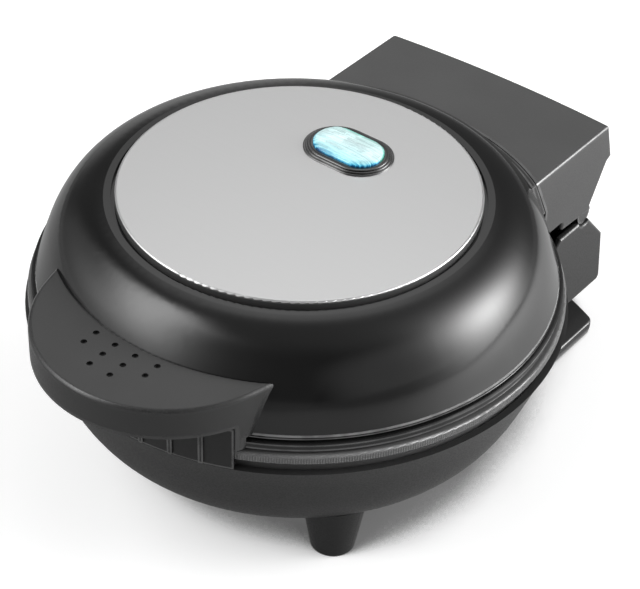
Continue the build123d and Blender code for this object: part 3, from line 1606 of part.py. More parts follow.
with BuildPart() as upper_housing_screws:
    for a in housing_screw_angles:
        spot = wall_reach(dome_curve(0), upper_screw_z) - dome_t + wall_spot
        add_screw(outward(a, spot, upper_screw_z), dome_t - wall_spot + rib_boss_out - 2 * pilot_end)
upper_housing_screws.part.label = "upper_housing_screws"
export_step(upper_housing_screws.part, "parts/upper_housing_screws.step")

with BuildPart() as upper_leads:
    # from the element pins, down behind the dome, to the hinge
    for side in (-1, 1):
        add_lead(
            (
                (side * element_x, element_back + element_pin_r + seat_gap, upper_lead_z),
                (side * element_x, upper_lead_turn, upper_lead_z),
                (side * element_x, upper_lead_drop, lid_window_z),
                (side * element_x, block_back, lid_window_z),
                (side * element_x, block_back, hinge_z + lead_break),
            ),
            lead_bend_r,
        )
    # from the lamps to the hinge
    for side in (-1, 1):
        add_lead(
            (
                (side * lamp_pitch / 2, lamp_back + holder_w / 2 + seat_gap, lamp_z),
                (side * lamp_pitch / 2, upper_lead_turn, lamp_z),
                (side * lamp_pitch / 2, upper_lead_drop, lid_window_z),
                (side * lamp_pitch / 2, block_back, lid_window_z),
                (side * lamp_pitch / 2, block_back, hinge_z + lead_break),
            ),
            lead_bend_r,
        )
upper_leads.part.label = "upper_leads"
export_step(upper_leads.part, "parts/upper_leads.step")
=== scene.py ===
from math import cos, pi, radians, sin

import bmesh
import bpy
from mathutils import Matrix, Vector


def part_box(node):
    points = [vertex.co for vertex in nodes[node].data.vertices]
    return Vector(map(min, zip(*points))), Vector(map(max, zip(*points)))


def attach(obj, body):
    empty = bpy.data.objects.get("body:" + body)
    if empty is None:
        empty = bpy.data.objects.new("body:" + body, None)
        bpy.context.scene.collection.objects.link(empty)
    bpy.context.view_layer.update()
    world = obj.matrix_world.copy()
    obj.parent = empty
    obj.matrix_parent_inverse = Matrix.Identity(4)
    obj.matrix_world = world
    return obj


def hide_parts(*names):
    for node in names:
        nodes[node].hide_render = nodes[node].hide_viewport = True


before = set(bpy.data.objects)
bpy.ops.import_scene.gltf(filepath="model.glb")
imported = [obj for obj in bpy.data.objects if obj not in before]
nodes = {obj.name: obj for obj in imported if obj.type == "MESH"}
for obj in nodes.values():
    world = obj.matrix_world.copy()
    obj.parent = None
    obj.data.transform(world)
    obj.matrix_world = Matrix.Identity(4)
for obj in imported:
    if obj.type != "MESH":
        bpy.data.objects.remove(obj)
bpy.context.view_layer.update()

# ----------------------------------------------------------------------
# Places taken from the frame, in metres
# ----------------------------------------------------------------------
disc_low, disc_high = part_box("top_disc")
disc_mid = (disc_low + disc_high) / 2
lens_low, lens_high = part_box("indicator_lens")
lens_mid = (lens_low + lens_high) / 2
lens_half_l = (lens_high.x - lens_low.x) / 2
lens_half_w = (lens_high.y - lens_low.y) / 2
body_axis = Vector((disc_mid.x, disc_mid.y, 0.0))

# ----------------------------------------------------------------------
# Directions and objects
# ----------------------------------------------------------------------
UP = Vector((0.0, 0.0, 1.0))


def toward(azimuth, elevation=0.0):
    """Unit vector; the azimuth is from the front, -Y, towards +X."""
    a, e = radians(azimuth), radians(elevation)
    return Vector((sin(a) * cos(e), -cos(a) * cos(e), sin(e)))


def level_right(azimuth):
    """Level unit vector to the right, as seen from that azimuth."""
    a = radians(azimuth)
    return Vector((cos(a), sin(a), 0.0))


def new_object(name, data):
    """New object, in the scene."""
    made = bpy.data.objects.new(name, data)
    bpy.context.scene.collection.objects.link(made)
    return made


# ----------------------------------------------------------------------
# Camera
# ----------------------------------------------------------------------
CAMERA_AZIMUTH = 36.823
CAMERA_ELEVATION = 38.493
CAMERA_ROLL = 1.836
CAMERA_DISTANCE = 0.800016
CAMERA_SIDE = 0.008364
CAMERA_RISE = -0.001901
CAMERA_TARGET_Z = 0.062
CAMERA_LENS = 121.62
CAMERA_NEAR = 0.01
SENSOR = 36.0


def make_camera():
    """Camera at the viewing angle, aimed at the seam's height on the body axis."""
    roll = radians(CAMERA_ROLL)
    back = toward(CAMERA_AZIMUTH, CAMERA_ELEVATION)
    level = level_right(CAMERA_AZIMUTH)
    steep = back.cross(level)
    right = level * cos(roll) + steep * sin(roll)
    up = steep * cos(roll) - level * sin(roll)
    target = body_axis + UP * CAMERA_TARGET_Z
    place = target + back * CAMERA_DISTANCE + right * CAMERA_SIDE + up * CAMERA_RISE
    data = bpy.data.cameras.new("camera")
    data.lens = CAMERA_LENS
    data.sensor_width = SENSOR
    data.sensor_fit = "HORIZONTAL"
    data.clip_start = CAMERA_NEAR
    camera = new_object("camera", data)
    camera.matrix_world = Matrix.Translation(place) @ Matrix((right, up, back)).transposed().to_4x4()
    bpy.context.scene.camera = camera


# ----------------------------------------------------------------------
# Node tree helpers
# ----------------------------------------------------------------------
def add(tree, kind, inputs=None, **settings):
    """New node with its settings; an input takes a value or another node's output."""
    node = tree.nodes.new(kind)
    for key, value in settings.items():
        setattr(node, key, value)
    for key, value in (inputs or {}).items():
        if isinstance(value, bpy.types.NodeSocket):
            tree.links.new(value, node.inputs[key])
        else:
            node.inputs[key].default_value = value
    return node


def maths(tree, operation, *values):
    """Math node's output; the values are numbers or outputs."""
    return add(tree, "ShaderNodeMath", dict(enumerate(values)), operation=operation).outputs[0]


def vector_maths(tree, operation, *values):
    """Vector Math node's output: a number for a length or a dot product, and otherwise a vector."""
    node = add(tree, "ShaderNodeVectorMath", dict(enumerate(values)), operation=operation)
    return node.outputs["Value" if operation in ("LENGTH", "DOT_PRODUCT") else "Vector"]


def dimmed(tree, colour, gain):
    """Colour times a gain."""
    return add(tree, "ShaderNodeVectorMath", {0: colour, "Scale": gain}, operation="SCALE").outputs[0]


def ramp(tree, value, low, high, out_low=0.0, out_high=1.0, smooth=True):
    """Value mapped from one range to another, clamped."""
    inputs = {"Value": value, "From Min": low, "From Max": high, "To Min": out_low, "To Max": out_high}
    kind = "SMOOTHSTEP" if smooth else "LINEAR"
    return add(tree, "ShaderNodeMapRange", inputs, interpolation_type=kind).outputs["Result"]


def mix(tree, factor, low, high, blend="MIX"):
    """Mix of two colours by a factor; 6, 7 and 2 are the node's colour sockets."""
    inputs = {0: factor, 6: low, 7: high}
    return add(tree, "ShaderNodeMix", inputs, data_type="RGBA", blend_type=blend).outputs[2]


def grey(level, tint=(1.0, 1.0, 1.0)):
    """Colour of that level, turned towards a tint."""
    return (level * tint[0], level * tint[1], level * tint[2], 1.0)


def object_point(tree, scale=(1.0, 1.0, 1.0), centre=(0.0, 0.0, 0.0)):
    """Object coordinates about a centre, stretched by a scale."""
    source = add(tree, "ShaderNodeTexCoord").outputs["Object"]
    return vector_maths(tree, "MULTIPLY", vector_maths(tree, "SUBTRACT", source, tuple(centre)), scale)


def height_above_floor(tree):
    """Height of the shaded point at rest, in metres."""
    return add(tree, "ShaderNodeSeparateXYZ", {0: object_point(tree)}).outputs["Z"]


def noise(tree, point, scale, detail=3.0, roughness=0.5):
    """Noise from 0 to 1; its scale is per unit of the point's length."""
    inputs = {"Vector": point, "Scale": scale, "Detail": detail, "Roughness": roughness}
    return add(tree, "ShaderNodeTexNoise", inputs).outputs["Fac"]


def new_group(name, inputs, outputs):
    """Empty shader node group with named sockets; returns tree, input node and output node."""
    tree = bpy.data.node_groups.new(name, "ShaderNodeTree")
    kinds = {"color": "NodeSocketColor", "value": "NodeSocketFloat"}
    for label, kind, default in inputs:
        socket = tree.interface.new_socket(label, in_out="INPUT", socket_type=kinds[kind])
        socket.default_value = default
    for label, kind in outputs:
        tree.interface.new_socket(label, in_out="OUTPUT", socket_type=kinds[kind])
    return tree, tree.nodes.new("NodeGroupInput"), tree.nodes.new("NodeGroupOutput")


# ----------------------------------------------------------------------
# Surface effects used by several materials
# ----------------------------------------------------------------------
NOISE_SPAN = (0.3, 0.7)  # what a noise swings between
NOISE_CORE = (0.35, 0.65)  # what most of it swings between
CLOUD_SCALE = 34.0  # flow shading, per metre
SKIN_CLOUD = 0.05  # how far that shading moves the colour
SKIN_RIPPLE = 0.06  # how far the grain moves the roughness
FINE_LINES = (14.0, 4200.0, 40.0)  # brushed lines, per metre along each axis
BROAD_LINES = (5.0, 900.0, 20.0)
BROAD_SHARE = 0.25
LINE_RIPPLE = 0.04  # how far the lines move the roughness
WIPE_STRETCH = (1.0, 1.6, 1.0)
WIPE_SCALE = 24.0  # wipe marks, per metre
WIPE_SPAN = (0.45, 0.75)
FLECK_SCALE = 700.0  # cells with a fleck in each, per metre
FLECK_SPAN = (0.05, 0.12)  # solid part and soft edge of a fleck, in parts of its cell
PEEL_SCALE = 900.0  # orange peel, per metre
PEEL_RIPPLE = 0.12  # how far the peel moves the roughness
# the edge mask here sets where edges turn to their own tone: a worn grey, or a pale painted highlight
EDGE_SPAN = (0.97, 0.84)  # openness inside the piece where the rubbing starts, and where it is full
EDGE_RAYS = 8
EDGE_PATCHES = 140.0  # patches that are rubbed less, per metre
PATCH_SPAN = (0.35, 0.6)
EDGE_LEAST = 0.6  # least share of the rubbing where it is patchy
EDGE_POLISH = -0.18  # what the rubbing does to the roughness
FLAT_MARGIN = (0.00004, 0.00015)  # below the flat top, where the rubbing sets in


def make_moulded_skin():
    """Spark-eroded grain of a moulded plastic, with faint flow shading."""
    tree, into, out = new_group(
        "moulded_skin",
        (
            ("Color", "color", grey(0.05)),
            ("Roughness", "value", 0.5),
            ("Grain", "value", 1600.0),
            ("Cloud", "value", 0.12),
        ),
        (("Color", "color"), ("Roughness", "value"), ("Height", "value")),
    )
    point = object_point(tree)
    grain = noise(tree, point, into.outputs["Grain"], detail=2.0, roughness=0.6)
    cloud = noise(tree, point, CLOUD_SCALE, detail=2.0)
    swing = ramp(tree, cloud, *NOISE_SPAN, -1.0, 1.0)
    gain = maths(tree, "MULTIPLY_ADD", swing, into.outputs["Cloud"], 1.0)
    tree.links.new(dimmed(tree, into.outputs["Color"], gain), out.inputs["Color"])
    ripple = ramp(tree, grain, *NOISE_CORE, -SKIN_RIPPLE, SKIN_RIPPLE)
    tree.links.new(maths(tree, "ADD", into.outputs["Roughness"], ripple), out.inputs["Roughness"])
    tree.links.new(grain, out.inputs["Height"])
    return tree


def make_brushed_lines():
    """Fine straight lines of a brushed sheet, along X."""
    tree, into, out = new_group(
        "brushed_lines",
        (
            ("Color", "color", grey(0.6)),
            ("Roughness", "value", 0.3),
            ("Contrast", "value", 0.06),
        ),
        (("Color", "color"), ("Roughness", "value"), ("Height", "value")),
    )
    fine = noise(tree, object_point(tree, FINE_LINES), 1.0, detail=3.0, roughness=0.65)
    broad = noise(tree, object_point(tree, BROAD_LINES), 1.0, detail=2.0)
    fine_part = maths(tree, "MULTIPLY", fine, 1 - BROAD_SHARE)
    lines = maths(tree, "MULTIPLY_ADD", broad, BROAD_SHARE, fine_part)
    swing = ramp(tree, lines, *NOISE_SPAN, -1.0, 1.0, smooth=False)
    gain = maths(tree, "MULTIPLY_ADD", swing, into.outputs["Contrast"], 1.0)
    tree.links.new(dimmed(tree, into.outputs["Color"], gain), out.inputs["Color"])
    shine = maths(tree, "MULTIPLY_ADD", swing, LINE_RIPPLE, into.outputs["Roughness"])
    tree.links.new(shine, out.inputs["Roughness"])
    tree.links.new(lines, out.inputs["Height"])
    return tree


def make_handling():
    """Faint wipe marks and dust that dull a polished surface here and there."""
    tree, into, out = new_group(
        "handling",
        (("Roughness", "value", 0.1), ("Amount", "value", 0.05)),
        (("Roughness", "value"),),
    )
    streaks = noise(tree, object_point(tree, WIPE_STRETCH), WIPE_SCALE, detail=4.0, roughness=0.6)
    mask = ramp(tree, streaks, *WIPE_SPAN)
    shine = maths(tree, "MULTIPLY_ADD", mask, into.outputs["Amount"], into.outputs["Roughness"])
    tree.links.new(shine, out.inputs["Roughness"])
    return tree


def make_coating():
    """Sprayed non-stick coating: orange peel with a few pale flecks."""
    tree, into, out = new_group(
        "sprayed_coating",
        (
            ("Color", "color", grey(0.02)),
            ("Fleck", "color", grey(0.2)),
            ("Roughness", "value", 0.35),
        ),
        (("Color", "color"), ("Roughness", "value"), ("Height", "value")),
    )
    point = object_point(tree)
    flecks = add(tree, "ShaderNodeTexVoronoi", {"Vector": point, "Scale": FLECK_SCALE})
    mask = ramp(tree, flecks.outputs["Distance"], *FLECK_SPAN, 1.0, 0.0)
    tree.links.new(mix(tree, mask, into.outputs["Color"], into.outputs["Fleck"]), out.inputs["Color"])
    peel = noise(tree, point, PEEL_SCALE, detail=2.0)
    shine = maths(tree, "MULTIPLY_ADD", peel, PEEL_RIPPLE, into.outputs["Roughness"])
    tree.links.new(shine, out.inputs["Roughness"])
    tree.links.new(peel, out.inputs["Height"])
    return tree


def make_edge_wear_and_highlight():
    """Outer edges worn smoother than the faces beside them, towards a tone of their own: a darker worn
    grey, or a pale grey that is a painted highlight along the edge.
    """
    tree, into, out = new_group(
        "edge_wear_and_highlight",
        (
            ("Color", "color", grey(0.05)),
            ("Roughness", "value", 0.4),
            ("Rubbed", "color", grey(0.006)),
            ("Amount", "value", 0.1),
            ("Width", "value", 0.0009),
            ("Flat Height", "value", 1.0),
        ),
        (("Color", "color"), ("Roughness", "value"), ("Edge", "value")),
    )
    inner = add(
        tree,
        "ShaderNodeAmbientOcclusion",
        {"Distance": into.outputs["Width"]},
        samples=EDGE_RAYS,
        inside=True,
        only_local=True,
    )
    patchy = ramp(tree, noise(tree, object_point(tree), EDGE_PATCHES), *PATCH_SPAN, EDGE_LEAST, 1.0)
    edge = maths(tree, "MULTIPLY", ramp(tree, inner.outputs["AO"], *EDGE_SPAN), patchy)
    # none on the flat top at that height, where only small holes have edges
    below = maths(tree, "SUBTRACT", into.outputs["Flat Height"], height_above_floor(tree))
    edge = maths(tree, "MULTIPLY", edge, ramp(tree, below, *FLAT_MARGIN))
    share = maths(tree, "MULTIPLY", edge, into.outputs["Amount"])
    # edges go towards their own tone: darker where worn, pale where it is a painted highlight
    tree.links.new(mix(tree, share, into.outputs["Color"], into.outputs["Rubbed"]), out.inputs["Color"])
    shine = maths(tree, "MULTIPLY_ADD", edge, EDGE_POLISH, into.outputs["Roughness"])
    tree.links.new(shine, out.inputs["Roughness"])
    tree.links.new(edge, out.inputs["Edge"])
    return tree


moulded_skin = make_moulded_skin()
brushed_lines = make_brushed_lines()
handling = make_handling()
sprayed_coating = make_coating()
edge_wear_and_highlight = make_edge_wear_and_highlight()


# ----------------------------------------------------------------------
# Materials
# ----------------------------------------------------------------------
def start_material(name):
    """New material with a Principled BSDF; returns material, tree and BSDF."""
    material = bpy.data.materials.new(name)
    material.use_nodes = True
    return material, material.node_tree, material.node_tree.nodes["Principled BSDF"]


def place_group(tree, group, **values):
    """Group placed in a material, with its named inputs set or linked."""
    return add(tree, "ShaderNodeGroup", values, node_tree=group)


def bump(tree, bsdf, height, distance):
    """Relief of a surface, its height from 0 to 1 over a distance in metres."""
    node = add(tree, "ShaderNodeBump", {"Height": height, "Distance": distance, "Strength": 1.0})
    tree.links.new(node.outputs["Normal"], bsdf.inputs["Normal"])


def dress(tree, bsdf, skin, depth):
    """Colour, roughness and relief of a shader, all from one group."""
    tree.links.new(skin.outputs["Color"], bsdf.inputs["Base Color"])
    tree.links.new(skin.outputs["Roughness"], bsdf.inputs["Roughness"])
    bump(tree, bsdf, skin.outputs["Height"], depth)


SKIN_SPECULAR = 0.35  # of a plain moulded skin
RUBBED_DARK = 0.006  # grey of an edge rubbed smooth
# the pale edge grey below is a painted highlight along an edge
PAINTED_EDGE_HIGHLIGHT = 0.6  # grey of an edge rubbed white
EDGE_SHINE = 0.12  # roughness of the rubbed skin on an edge
EDGE_GLOSS = 2.1  # its refraction
GLOSS_SPECULAR = 0.72
GLOSS_WAVES = 260.0  # slight waves of the polished skin, per metre
GLOSS_WAVE_DEPTH = 6e-6
GLOSS_CLOUD = 0.08
GLOSS_WIPED = 0.05  # what a wipe mark adds to the roughness
LIP_HEIGHT = 0.0016  # of the dome's lower lip
# how far the lip's edge is painted pale: a painted highlight
LIP_HIGHLIGHT = 0.4
DISC_LEVEL = 0.7
# the disc's cut edge is painted darker: painted shade at the gap round the disc
DISC_EDGE_SHADE = DISC_LEVEL / 6
DISC_CUT_ROUGHNESS = 0.7
DISC_EDGE = 0.00012  # width of the cut edge
COATING_DEPTH = 20e-6
CERAMIC_DEPTH = 12e-6
HEAT_SCALE = 60.0  # patches of the heat tint, per metre
HEAT_TINTS = ((0.16, 0.13, 0.11, 1.0), (0.28, 0.24, 0.19, 1.0))
HEAT_SHARE = 0.6  # how far the tint gives way to the steel
WEAVE_SCALE = 2400.0  # threads of the sleeve, per metre
WEAVE_TONES = ((0.62, 0.58, 0.5, 1.0), (0.85, 0.82, 0.74, 1.0))
WEAVE_ROUGHNESS = (0.7, 0.9)
WEAVE_DEPTH = 80e-6
NYLON_TINT = (1.0, 0.98, 0.92)
HOLDER_TINT = (1.0, 0.98, 0.94)
FUSE_TINT = (1.0, 0.96, 0.9)
LAMP_SCALE = 220.0  # patches of the glow, per metre
LAMP_TONES = ((0.75, 0.9, 0.95, 1.0), (0.9, 1.0, 1.0, 1.0))
LAMP_ROUGHNESS = (0.08, 0.16)
LAMP_CLEARNESS = 0.5


def plastic(
    name,
    level,
    roughness,
    grain=1600.0,
    depth=30e-6,
    tint=(1.0, 1.0, 1.0),
    specular=SKIN_SPECULAR,
    wear_and_highlight=0.0,
    wear_and_highlight_tone=RUBBED_DARK,
    edge_gloss=EDGE_GLOSS,
    **edge,
):
    """Moulded plastic.

    level is its grey, grain and depth the number per metre and the height of its grain, wear how far
    its edges turn to their edge grey, a darker worn grey or a pale grey that is a painted highlight,
    and edge what else the edge group takes.
    """
    material, tree, bsdf = start_material(name)
    bsdf.inputs["Specular IOR Level"].default_value = specular
    skin = place_group(
        tree, moulded_skin, Color=grey(level, tint), Roughness=roughness, Grain=grain, Cloud=SKIN_CLOUD
    )
    dress(tree, bsdf, skin, depth)
    if wear_and_highlight:
        worn = place_group(tree, edge_wear_and_highlight, Amount=wear_and_highlight, Rubbed=grey(wear_and_highlight_tone), **edge)
        for output, socket in (("Color", "Base Color"), ("Roughness", "Roughness")):
            tree.links.new(skin.outputs[output], worn.inputs[output])
            tree.links.new(worn.outputs[output], bsdf.inputs[socket])
        tree.links.new(worn.outputs["Edge"], bsdf.inputs["Coat Weight"])
        bsdf.inputs["Coat Roughness"].default_value = EDGE_SHINE
        bsdf.inputs["Coat IOR"].default_value = edge_gloss
    return material


def gloss(name, level, roughness):
    """Polished plastic of the dome, with a painted highlight along its lower lip."""
    material, tree, bsdf = start_material(name)
    bsdf.inputs["Specular IOR Level"].default_value = GLOSS_SPECULAR
    skin = place_group(
        tree, moulded_skin, Color=grey(level), Roughness=roughness, Grain=GLOSS_WAVES, Cloud=GLOSS_CLOUD
    )
    wiped = place_group(tree, handling, Roughness=roughness, Amount=GLOSS_WIPED)
    tree.links.new(wiped.outputs["Roughness"], bsdf.inputs["Roughness"])
    # painted highlight: the lower lip's edge is painted pale, as a bright line along it
    wear_and_highlight_tone = place_group(
        tree, edge_wear_and_highlight, Color=skin.outputs["Color"], Amount=LIP_HIGHLIGHT, Rubbed=grey(PAINTED_EDGE_HIGHLIGHT)
    )
    lip_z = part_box("lid_dome")[0].z + LIP_HEIGHT
    lip = ramp(tree, height_above_floor(tree), lip_z, lip_z + LIP_HEIGHT, 1.0, 0.0)
    shade = mix(tree, lip, skin.outputs["Color"], wear_and_highlight_tone.outputs["Color"])
    tree.links.new(shade, bsdf.inputs["Base Color"])
    bump(tree, bsdf, skin.outputs["Height"], GLOSS_WAVE_DEPTH)
    return material


def metal(name, level, roughness, contrast=0.05, tint=(1.0, 1.0, 1.0), depth=4e-6, metallic=1.0):
    """Brushed or drawn metal."""
    material, tree, bsdf = start_material(name)
    bsdf.inputs["Metallic"].default_value = metallic
    lines = place_group(
        tree, brushed_lines, Color=grey(level, tint), Roughness=roughness, Contrast=contrast
    )
    dress(tree, bsdf, lines, depth)
    return material


def brushed_disc():
    """Satin sheet of the disc, with a rougher cut edge that is darkened as painted shade at the gap
    round the disc.
    """
    material = metal("disc_steel", DISC_LEVEL, 0.32, contrast=0.012, depth=1.2e-6, metallic=0.82)
    tree = material.node_tree
    bsdf = tree.nodes["Principled BSDF"]
    disc_r = (disc_high.x - disc_low.x) / 2
    flat = object_point(tree, (1 / disc_r, 1 / disc_r, 0.0), disc_mid)
    reach = vector_maths(tree, "LENGTH", flat)
    cut = ramp(tree, reach, 1 - 2 * DISC_EDGE / disc_r, 1 - DISC_EDGE / disc_r)
    # at the cut edge: painted shade in the colour, and a higher roughness
    for name, edge_value in (("Base Color", DISC_EDGE_SHADE), ("Roughness", DISC_CUT_ROUGHNESS)):
        plain = bsdf.inputs[name].links[0].from_socket
        tree.links.new(mix(tree, cut, plain, grey(edge_value)), bsdf.inputs[name])
    return material


def plate_coating():
    """Dark non-stick coating of the cooking plates."""
    material, tree, bsdf = start_material("plate_coating")
    coat = place_group(tree, sprayed_coating, Color=grey(0.018), Fleck=grey(0.09), Roughness=0.3)
    dress(tree, bsdf, coat, COATING_DEPTH)
    return material


def sheathed_steel():
    """Dark heat-tinted sheath of the tubular elements."""
    material, tree, bsdf = start_material("element_steel")
    bsdf.inputs["Metallic"].default_value = 1.0
    lines = place_group(tree, brushed_lines, Color=grey(0.3), Roughness=0.42, Contrast=0.1)
    heat = ramp(tree, noise(tree, object_point(tree), HEAT_SCALE), *NOISE_CORE)
    tinted = mix(tree, heat, *HEAT_TINTS)
    both = mix(tree, HEAT_SHARE, tinted, lines.outputs["Color"], "MULTIPLY")
    tree.links.new(both, bsdf.inputs["Base Color"])
    tree.links.new(lines.outputs["Roughness"], bsdf.inputs["Roughness"])
    return material


def ceramic():
    """Unglazed body of the thermostat."""
    material, tree, bsdf = start_material("ceramic_white")
    skin = place_group(
        tree, moulded_skin, Color=(0.72, 0.7, 0.65, 1.0), Roughness=0.3, Grain=500.0, Cloud=0.06
    )
    dress(tree, bsdf, skin, CERAMIC_DEPTH)
    return material


def braided_sleeve():
    """Woven glass sleeve of the heat-proof leads."""
    material, tree, bsdf = start_material("lead_sleeve")
    weave = add(tree, "ShaderNodeTexVoronoi", {"Vector": object_point(tree), "Scale": WEAVE_SCALE})
    threads = weave.outputs["Distance"]
    tree.links.new(mix(tree, threads, *WEAVE_TONES), bsdf.inputs["Base Color"])
    tree.links.new(ramp(tree, threads, 0.0, 1.0, *WEAVE_ROUGHNESS), bsdf.inputs["Roughness"])
    bump(tree, bsdf, threads, WEAVE_DEPTH)
    return material


def lamp_glass():
    """Neon lamp behind the lens, seen only with the lid apart."""
    material, tree, bsdf = start_material("lamp_glass")
    bsdf.inputs["Transmission Weight"].default_value = LAMP_CLEARNESS
    glow = ramp(tree, noise(tree, object_point(tree), LAMP_SCALE), *NOISE_SPAN)
    tree.links.new(mix(tree, glow, *LAMP_TONES), bsdf.inputs["Base Color"])
    tree.links.new(ramp(tree, glow, 0.0, 1.0, *LAMP_ROUGHNESS), bsdf.inputs["Roughness"])
    return material


LENS_GLOW = 0.36
LENS_WALL_FOOT, LENS_WALL_TOP = 0.0002, 0.0009  # heights from the middle of the lens
LENS_STREAKS = (90.0, 1500.0, 1.0)  # per metre along each axis
LENS_FACETS = (210.0, 420.0, 1.0)
LENS_RIM = (0.8, 1.0)  # where the bands start to follow the edge, in parts of the half width
LENS_WOBBLE = 0.04  # how far the streaks shift the bands
LENS_FACET_SPAN = (0.2, 0.8)
LENS_FACET_TONE = (0.86, 1.06)
LENS_STREAK_TONE = (0.76, 1.12)
LENS_SHINE = (0.05, 0.14)  # least and greatest roughness
LENS_RIPPLE = 60e-6
LENS_WALL_PALE = 0.92  # how far out in the bands the top of the wall lies
LENS_BANDS = (
    # place across the lens, from its front edge at 0 to its rear edge at 1, and colour
    (0.0, (0.005, 0.1, 0.26)),
    (0.014, (0.02, 0.26, 0.52)),
    (0.04, (0.1, 0.5, 0.7)),
    (0.09, (0.34, 0.7, 0.77)),
    (0.25, (0.48, 0.73, 0.75)),
    (0.55, (0.53, 0.69, 0.7)),
    (0.84, (0.48, 0.67, 0.66)),
    (0.91, (0.26, 0.56, 0.5)),
    (0.96, (0.06, 0.34, 0.27)),
    (1.0, (0.01, 0.12, 0.1)),
)


def colour_ramp(tree, value, stops):
    """Colours at places from 0 to 1, blended in between."""
    node = add(tree, "ShaderNodeValToRGB", {"Fac": value})
    elements = node.color_ramp.elements
    while len(elements) < len(stops):
        elements.new(1.0)
    for element, (place, colour) in zip(elements, stops):
        element.position = place
        element.color = (*colour, 1.0)
    return node.outputs["Color"]


def lens_clear():
    """Lit lens: pale in the middle, blue along the front edge and green along the rear."""
    material, tree, bsdf = start_material("lens_clear")
    point = object_point(tree, (1 / lens_half_l, 1 / lens_half_w, 1.0), lens_mid)
    place = add(tree, "ShaderNodeSeparateXYZ", {0: point})
    across = place.outputs["Y"]
    # distance from the middle of a slot with round ends, 1 at its edge
    straight = 1 - lens_half_w / lens_half_l
    past_end = maths(tree, "SUBTRACT", maths(tree, "ABSOLUTE", place.outputs["X"]), straight)
    past_end = maths(tree, "MAXIMUM", past_end, 0.0)
    round_end = maths(tree, "MULTIPLY", past_end, lens_half_l / lens_half_w)
    square = maths(tree, "MULTIPLY", round_end, round_end)
    square = maths(tree, "ADD", square, maths(tree, "MULTIPLY", across, across))
    reach = maths(tree, "SQRT", square)
    streaks = noise(tree, object_point(tree, LENS_STREAKS), 1.0, detail=4.0, roughness=0.65)
    facet_point = object_point(tree, LENS_FACETS)
    patches = add(
        tree, "ShaderNodeTexVoronoi", {"Vector": facet_point, "Scale": 1.0}, distance="CHEBYCHEV"
    )
    near_edge = ramp(tree, reach, *LENS_RIM)
    edge = maths(tree, "MULTIPLY", reach, maths(tree, "SIGN", across))
    spread = maths(tree, "MULTIPLY_ADD", maths(tree, "SUBTRACT", edge, across), near_edge, across)
    # its upright wall is dark at the foot and pale above
    rise = ramp(tree, place.outputs["Z"], LENS_WALL_FOOT, LENS_WALL_TOP, 1.0, LENS_WALL_PALE)
    spread = maths(tree, "MULTIPLY", spread, rise)
    # from -1 and 1 at its edges to 0 and 1
    band = maths(tree, "MULTIPLY_ADD", spread, 0.5, 0.5)
    wobble = ramp(tree, streaks, *NOISE_SPAN, -LENS_WOBBLE, LENS_WOBBLE)
    colour = colour_ramp(tree, maths(tree, "ADD", band, wobble), LENS_BANDS)
    facets = ramp(tree, patches.outputs["Color"], *LENS_FACET_SPAN, *LENS_FACET_TONE)
    gain = maths(tree, "MULTIPLY", facets, ramp(tree, streaks, *NOISE_CORE, *LENS_STREAK_TONE))
    lit = dimmed(tree, colour, gain)
    tree.links.new(lit, bsdf.inputs["Base Color"])
    tree.links.new(lit, bsdf.inputs["Emission Color"])
    bsdf.inputs["Emission Strength"].default_value = LENS_GLOW
    tree.links.new(ramp(tree, streaks, *NOISE_SPAN, *LENS_SHINE), bsdf.inputs["Roughness"])
    bump(tree, bsdf, streaks, LENS_RIPPLE)
    return material


FINISHES = {
    # name, grey level and roughness, and then what else is its own
    "base_bowl": plastic("bowl_plastic", 0.026, 0.42),
    # its pale edges, and the ridges of its ribs, are a painted highlight
    "base_ring": plastic(
        "ring_plastic", 0.11, 0.42, specular=0.6, wear_and_highlight=0.12, wear_and_highlight_tone=PAINTED_EDGE_HIGHLIGHT, edge_gloss=1.5
    ),
    "finger_guard": plastic("guard_plastic", 0.024, 0.38, wear_and_highlight=0.8),
    "lower_plate": plate_coating(),
    "lower_element": sheathed_steel(),
    "lower_reflector": metal("reflector_alu", 0.7, 0.3, contrast=0.08),
    "lower_plate_screws": metal("screw_steel", 0.5, 0.3, contrast=0.04),
    "thermostat": ceramic(),
    "thermal_fuse": metal("fuse_body", 0.55, 0.35, contrast=0.04, tint=FUSE_TINT),
    "terminal_block": plastic("block_nylon", 0.6, 0.5, grain=900.0, depth=20e-6, tint=NYLON_TINT),
    "inner_leads": braided_sleeve(),
    "lower_hinge_housing": plastic("lower_housing_plastic", 0.034, 0.36, wear_and_highlight=0.8),
    "hinge_pins": metal("pin_steel", 0.55, 0.25, contrast=0.04),
    "cord_gland": plastic("gland_plastic", 0.02, 0.5),
    "cord_tongue": plastic("tongue_plastic", 0.032, 0.38, wear_and_highlight=0.8),
    # the bowl's plastic, made darker here: painted shade under the bowl
    "feet": plastic("foot_plastic", 0.014, 0.42),
    "foot_pads": plastic("pad_rubber", 0.018, 0.8, grain=700.0, depth=60e-6),
    "lid_rim": plastic("rim_plastic", 0.009, 0.2, depth=4e-6, specular=0.5, wear_and_highlight=0.8),
    "lid_dome": gloss("dome_gloss", 0.006, 0.11),
    "top_disc": brushed_disc(),
    "indicator_bezel": plastic(
        "bezel_black", 0.006, 0.11, grain=700.0, depth=4e-6, specular=0.42, wear_and_highlight=0.5
    ),
    "indicator_lens": lens_clear(),
    "indicator_lamps": lamp_glass(),
    "lamp_holder": plastic("holder_plastic", 0.5, 0.5, grain=900.0, depth=20e-6, tint=HOLDER_TINT),
    "lid_handle": plastic(
        "handle_plastic",
        0.043,
        0.34,
        wear_and_highlight=0.85,
        edge_gloss=1.6,
        **{"Width": 0.0016, "Flat Height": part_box("lid_handle")[1].z},
    ),
    "upper_hinge_housing": plastic("upper_housing_plastic", 0.068, 0.34, wear_and_highlight=0.85, Width=0.0012),
}
